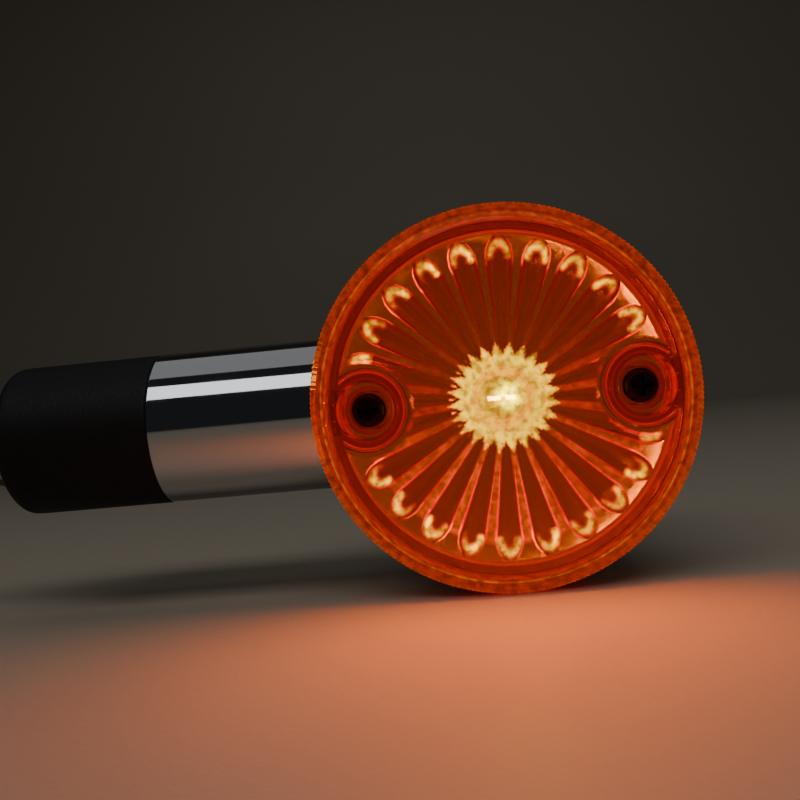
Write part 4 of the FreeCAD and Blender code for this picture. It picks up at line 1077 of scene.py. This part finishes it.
class IndicatorSpring(bpy.types.Operator):
    """Wind the contact spring that the bulb is pushed in against"""

    bl_idname = "indicator.spring"
    bl_label = "Contact spring"

    def execute(self, context):
        surface = spring_surface(context.scene.indicator_sizes)
        made = piece("contact_coil", *surface, finish("spring_steel"))
        settle(made, "lamp", "spring_steel", "contact_spring")
        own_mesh(made)
        return {"FINISHED"}


class IndicatorFilament(bpy.types.Operator):
    """Wind the glowing filament between its supports"""

    bl_idname = "indicator.filament"
    bl_label = "Filament"

    def execute(self, context):
        surface = coil_surface(context.scene.indicator_sizes)
        made = piece("filament_coil", *surface, finish("tungsten"), 60.0)
        settle(made, "bulb", "tungsten", "filament")
        return {"FINISHED"}


class IndicatorStage(bpy.types.Operator):
    """Lay the floor, hang the lights and set the camera"""

    bl_idname = "indicator.stage"
    bl_label = "Floor, lights and camera"

    def execute(self, context):
        self.sweep()
        self.lights()
        self.camera(context.scene)
        return {"FINISHED"}

    def sweep(self):
        """Floor and backdrop in one sheet: level, then a quarter circle, then upright."""
        turn = [
            (FLOOR_BACK + FLOOR_SWEEP * math.sin(a), FLOOR_Z + FLOOR_SWEEP * (1 - math.cos(a)))
            for a in np.linspace(0, math.pi / 2, FLOOR_TURN_STEPS)
        ]
        line = [(FLOOR_FRONT, FLOOR_Z), *turn, (FLOOR_BACK + FLOOR_SWEEP, FLOOR_WALL)]
        points = [(x, y, z) for y, z in line for x in (-FLOOR_HALF_WIDTH, FLOOR_HALF_WIDTH)]
        faces = [(2 * i, 2 * i + 1, 2 * i + 3, 2 * i + 2) for i in range(len(line) - 1)]
        mesh = bpy.data.meshes.new("studio_sweep")
        mesh.from_pydata(points, [], faces)
        mesh.polygons.foreach_set("use_smooth", np.ones(len(faces), dtype=bool))
        mesh.materials.append(studio_floor(bpy.context.scene.indicator_colours))
        floor = bpy.data.objects.new("studio_sweep", mesh)
        bpy.context.scene.collection.objects.link(floor)

    def lamp(self, name, place, aim, size, watts, colour):
        """A rectangular soft light at a place, turned towards a point."""
        light = bpy.data.lights.new(name, "AREA")
        light.shape = "RECTANGLE"
        light.size, light.size_y = size
        light.energy = watts
        light.color = srgb(colour)[:3]
        made = bpy.data.objects.new(name, light)
        made.location = place
        made.rotation_euler = (Vector(aim) - Vector(place)).to_track_quat("-Z", "Y").to_euler()
        bpy.context.scene.collection.objects.link(made)
        return made

    def lights(self):
        """One broad softbox above the front, one overhead fill, a dim room, and the light that the
        lens throws down ahead of it, whose source itself doesn't show."""
        lamps = {name: self.lamp(name, *settings) for name, settings in LIGHTS.items()}
        lamps["lens_glow"].visible_camera = False
        lamps["lens_glow"].visible_glossy = False
        lamps["lens_glow"].visible_transmission = False
        world = bpy.data.worlds.new("dim_room")
        world.use_nodes = True
        world.node_tree.nodes["Background"].inputs["Color"].default_value = srgb(ROOM_COLOUR)
        world.node_tree.nodes["Background"].inputs["Strength"].default_value = ROOM_STRENGTH
        bpy.context.scene.world = world

    def camera(self, scene):
        """Camera in front of the lens, turned about its own axis so that the arm climbs to the right."""
        forward = Vector(CAMERA_FORWARD).normalized()
        right = forward.cross(Vector(CAMERA_UP)).normalized()
        up = right.cross(forward)
        data = bpy.data.cameras.new("front_camera")
        data.lens = CAMERA_LENS
        data.clip_start = CAMERA_CLIP
        made = bpy.data.objects.new("front_camera", data)
        turn = Matrix((right, up, -forward)).transposed().to_4x4()
        made.matrix_world = Matrix.Translation(CAMERA_PLACE) @ turn
        scene.collection.objects.link(made)
        scene.camera = made


OPERATORS = (
    IndicatorFittings,
    IndicatorLens,
    IndicatorDamper,
    IndicatorStud,
    IndicatorSpring,
    IndicatorFilament,
    IndicatorStage,
)


class IndicatorPanel(bpy.types.Panel):
    """Sizes, colours and makers of the indicator"""

    bl_idname = "VIEW3D_PT_indicator"
    bl_label = "Turn signal indicator"
    bl_space_type = "VIEW_3D"
    bl_region_type = "UI"
    bl_category = "Indicator"

    def draw(self, context):
        for group in (context.scene.indicator_sizes, context.scene.indicator_colours):
            for name in group.__annotations__:
                self.layout.prop(group, name)
        for operator in OPERATORS:
            self.layout.operator(operator.bl_idname)


CLASSES = (IndicatorSizes, IndicatorColours, *OPERATORS, IndicatorPanel)


def register():
    for item in CLASSES:
        bpy.utils.register_class(item)
    bpy.types.Scene.indicator_sizes = bpy.props.PointerProperty(type=IndicatorSizes)
    bpy.types.Scene.indicator_colours = bpy.props.PointerProperty(type=IndicatorColours)


def unregister():
    del bpy.types.Scene.indicator_colours
    del bpy.types.Scene.indicator_sizes
    for item in reversed(CLASSES):
        bpy.utils.unregister_class(item)


def main():
    register()
    bpy.ops.indicator.fittings()
    bpy.ops.indicator.lens()
    bpy.ops.indicator.damper()
    bpy.ops.indicator.stud()
    bpy.ops.indicator.spring()
    bpy.ops.indicator.filament()
    bpy.ops.indicator.stage()


if __name__ == "__main__":
    main()
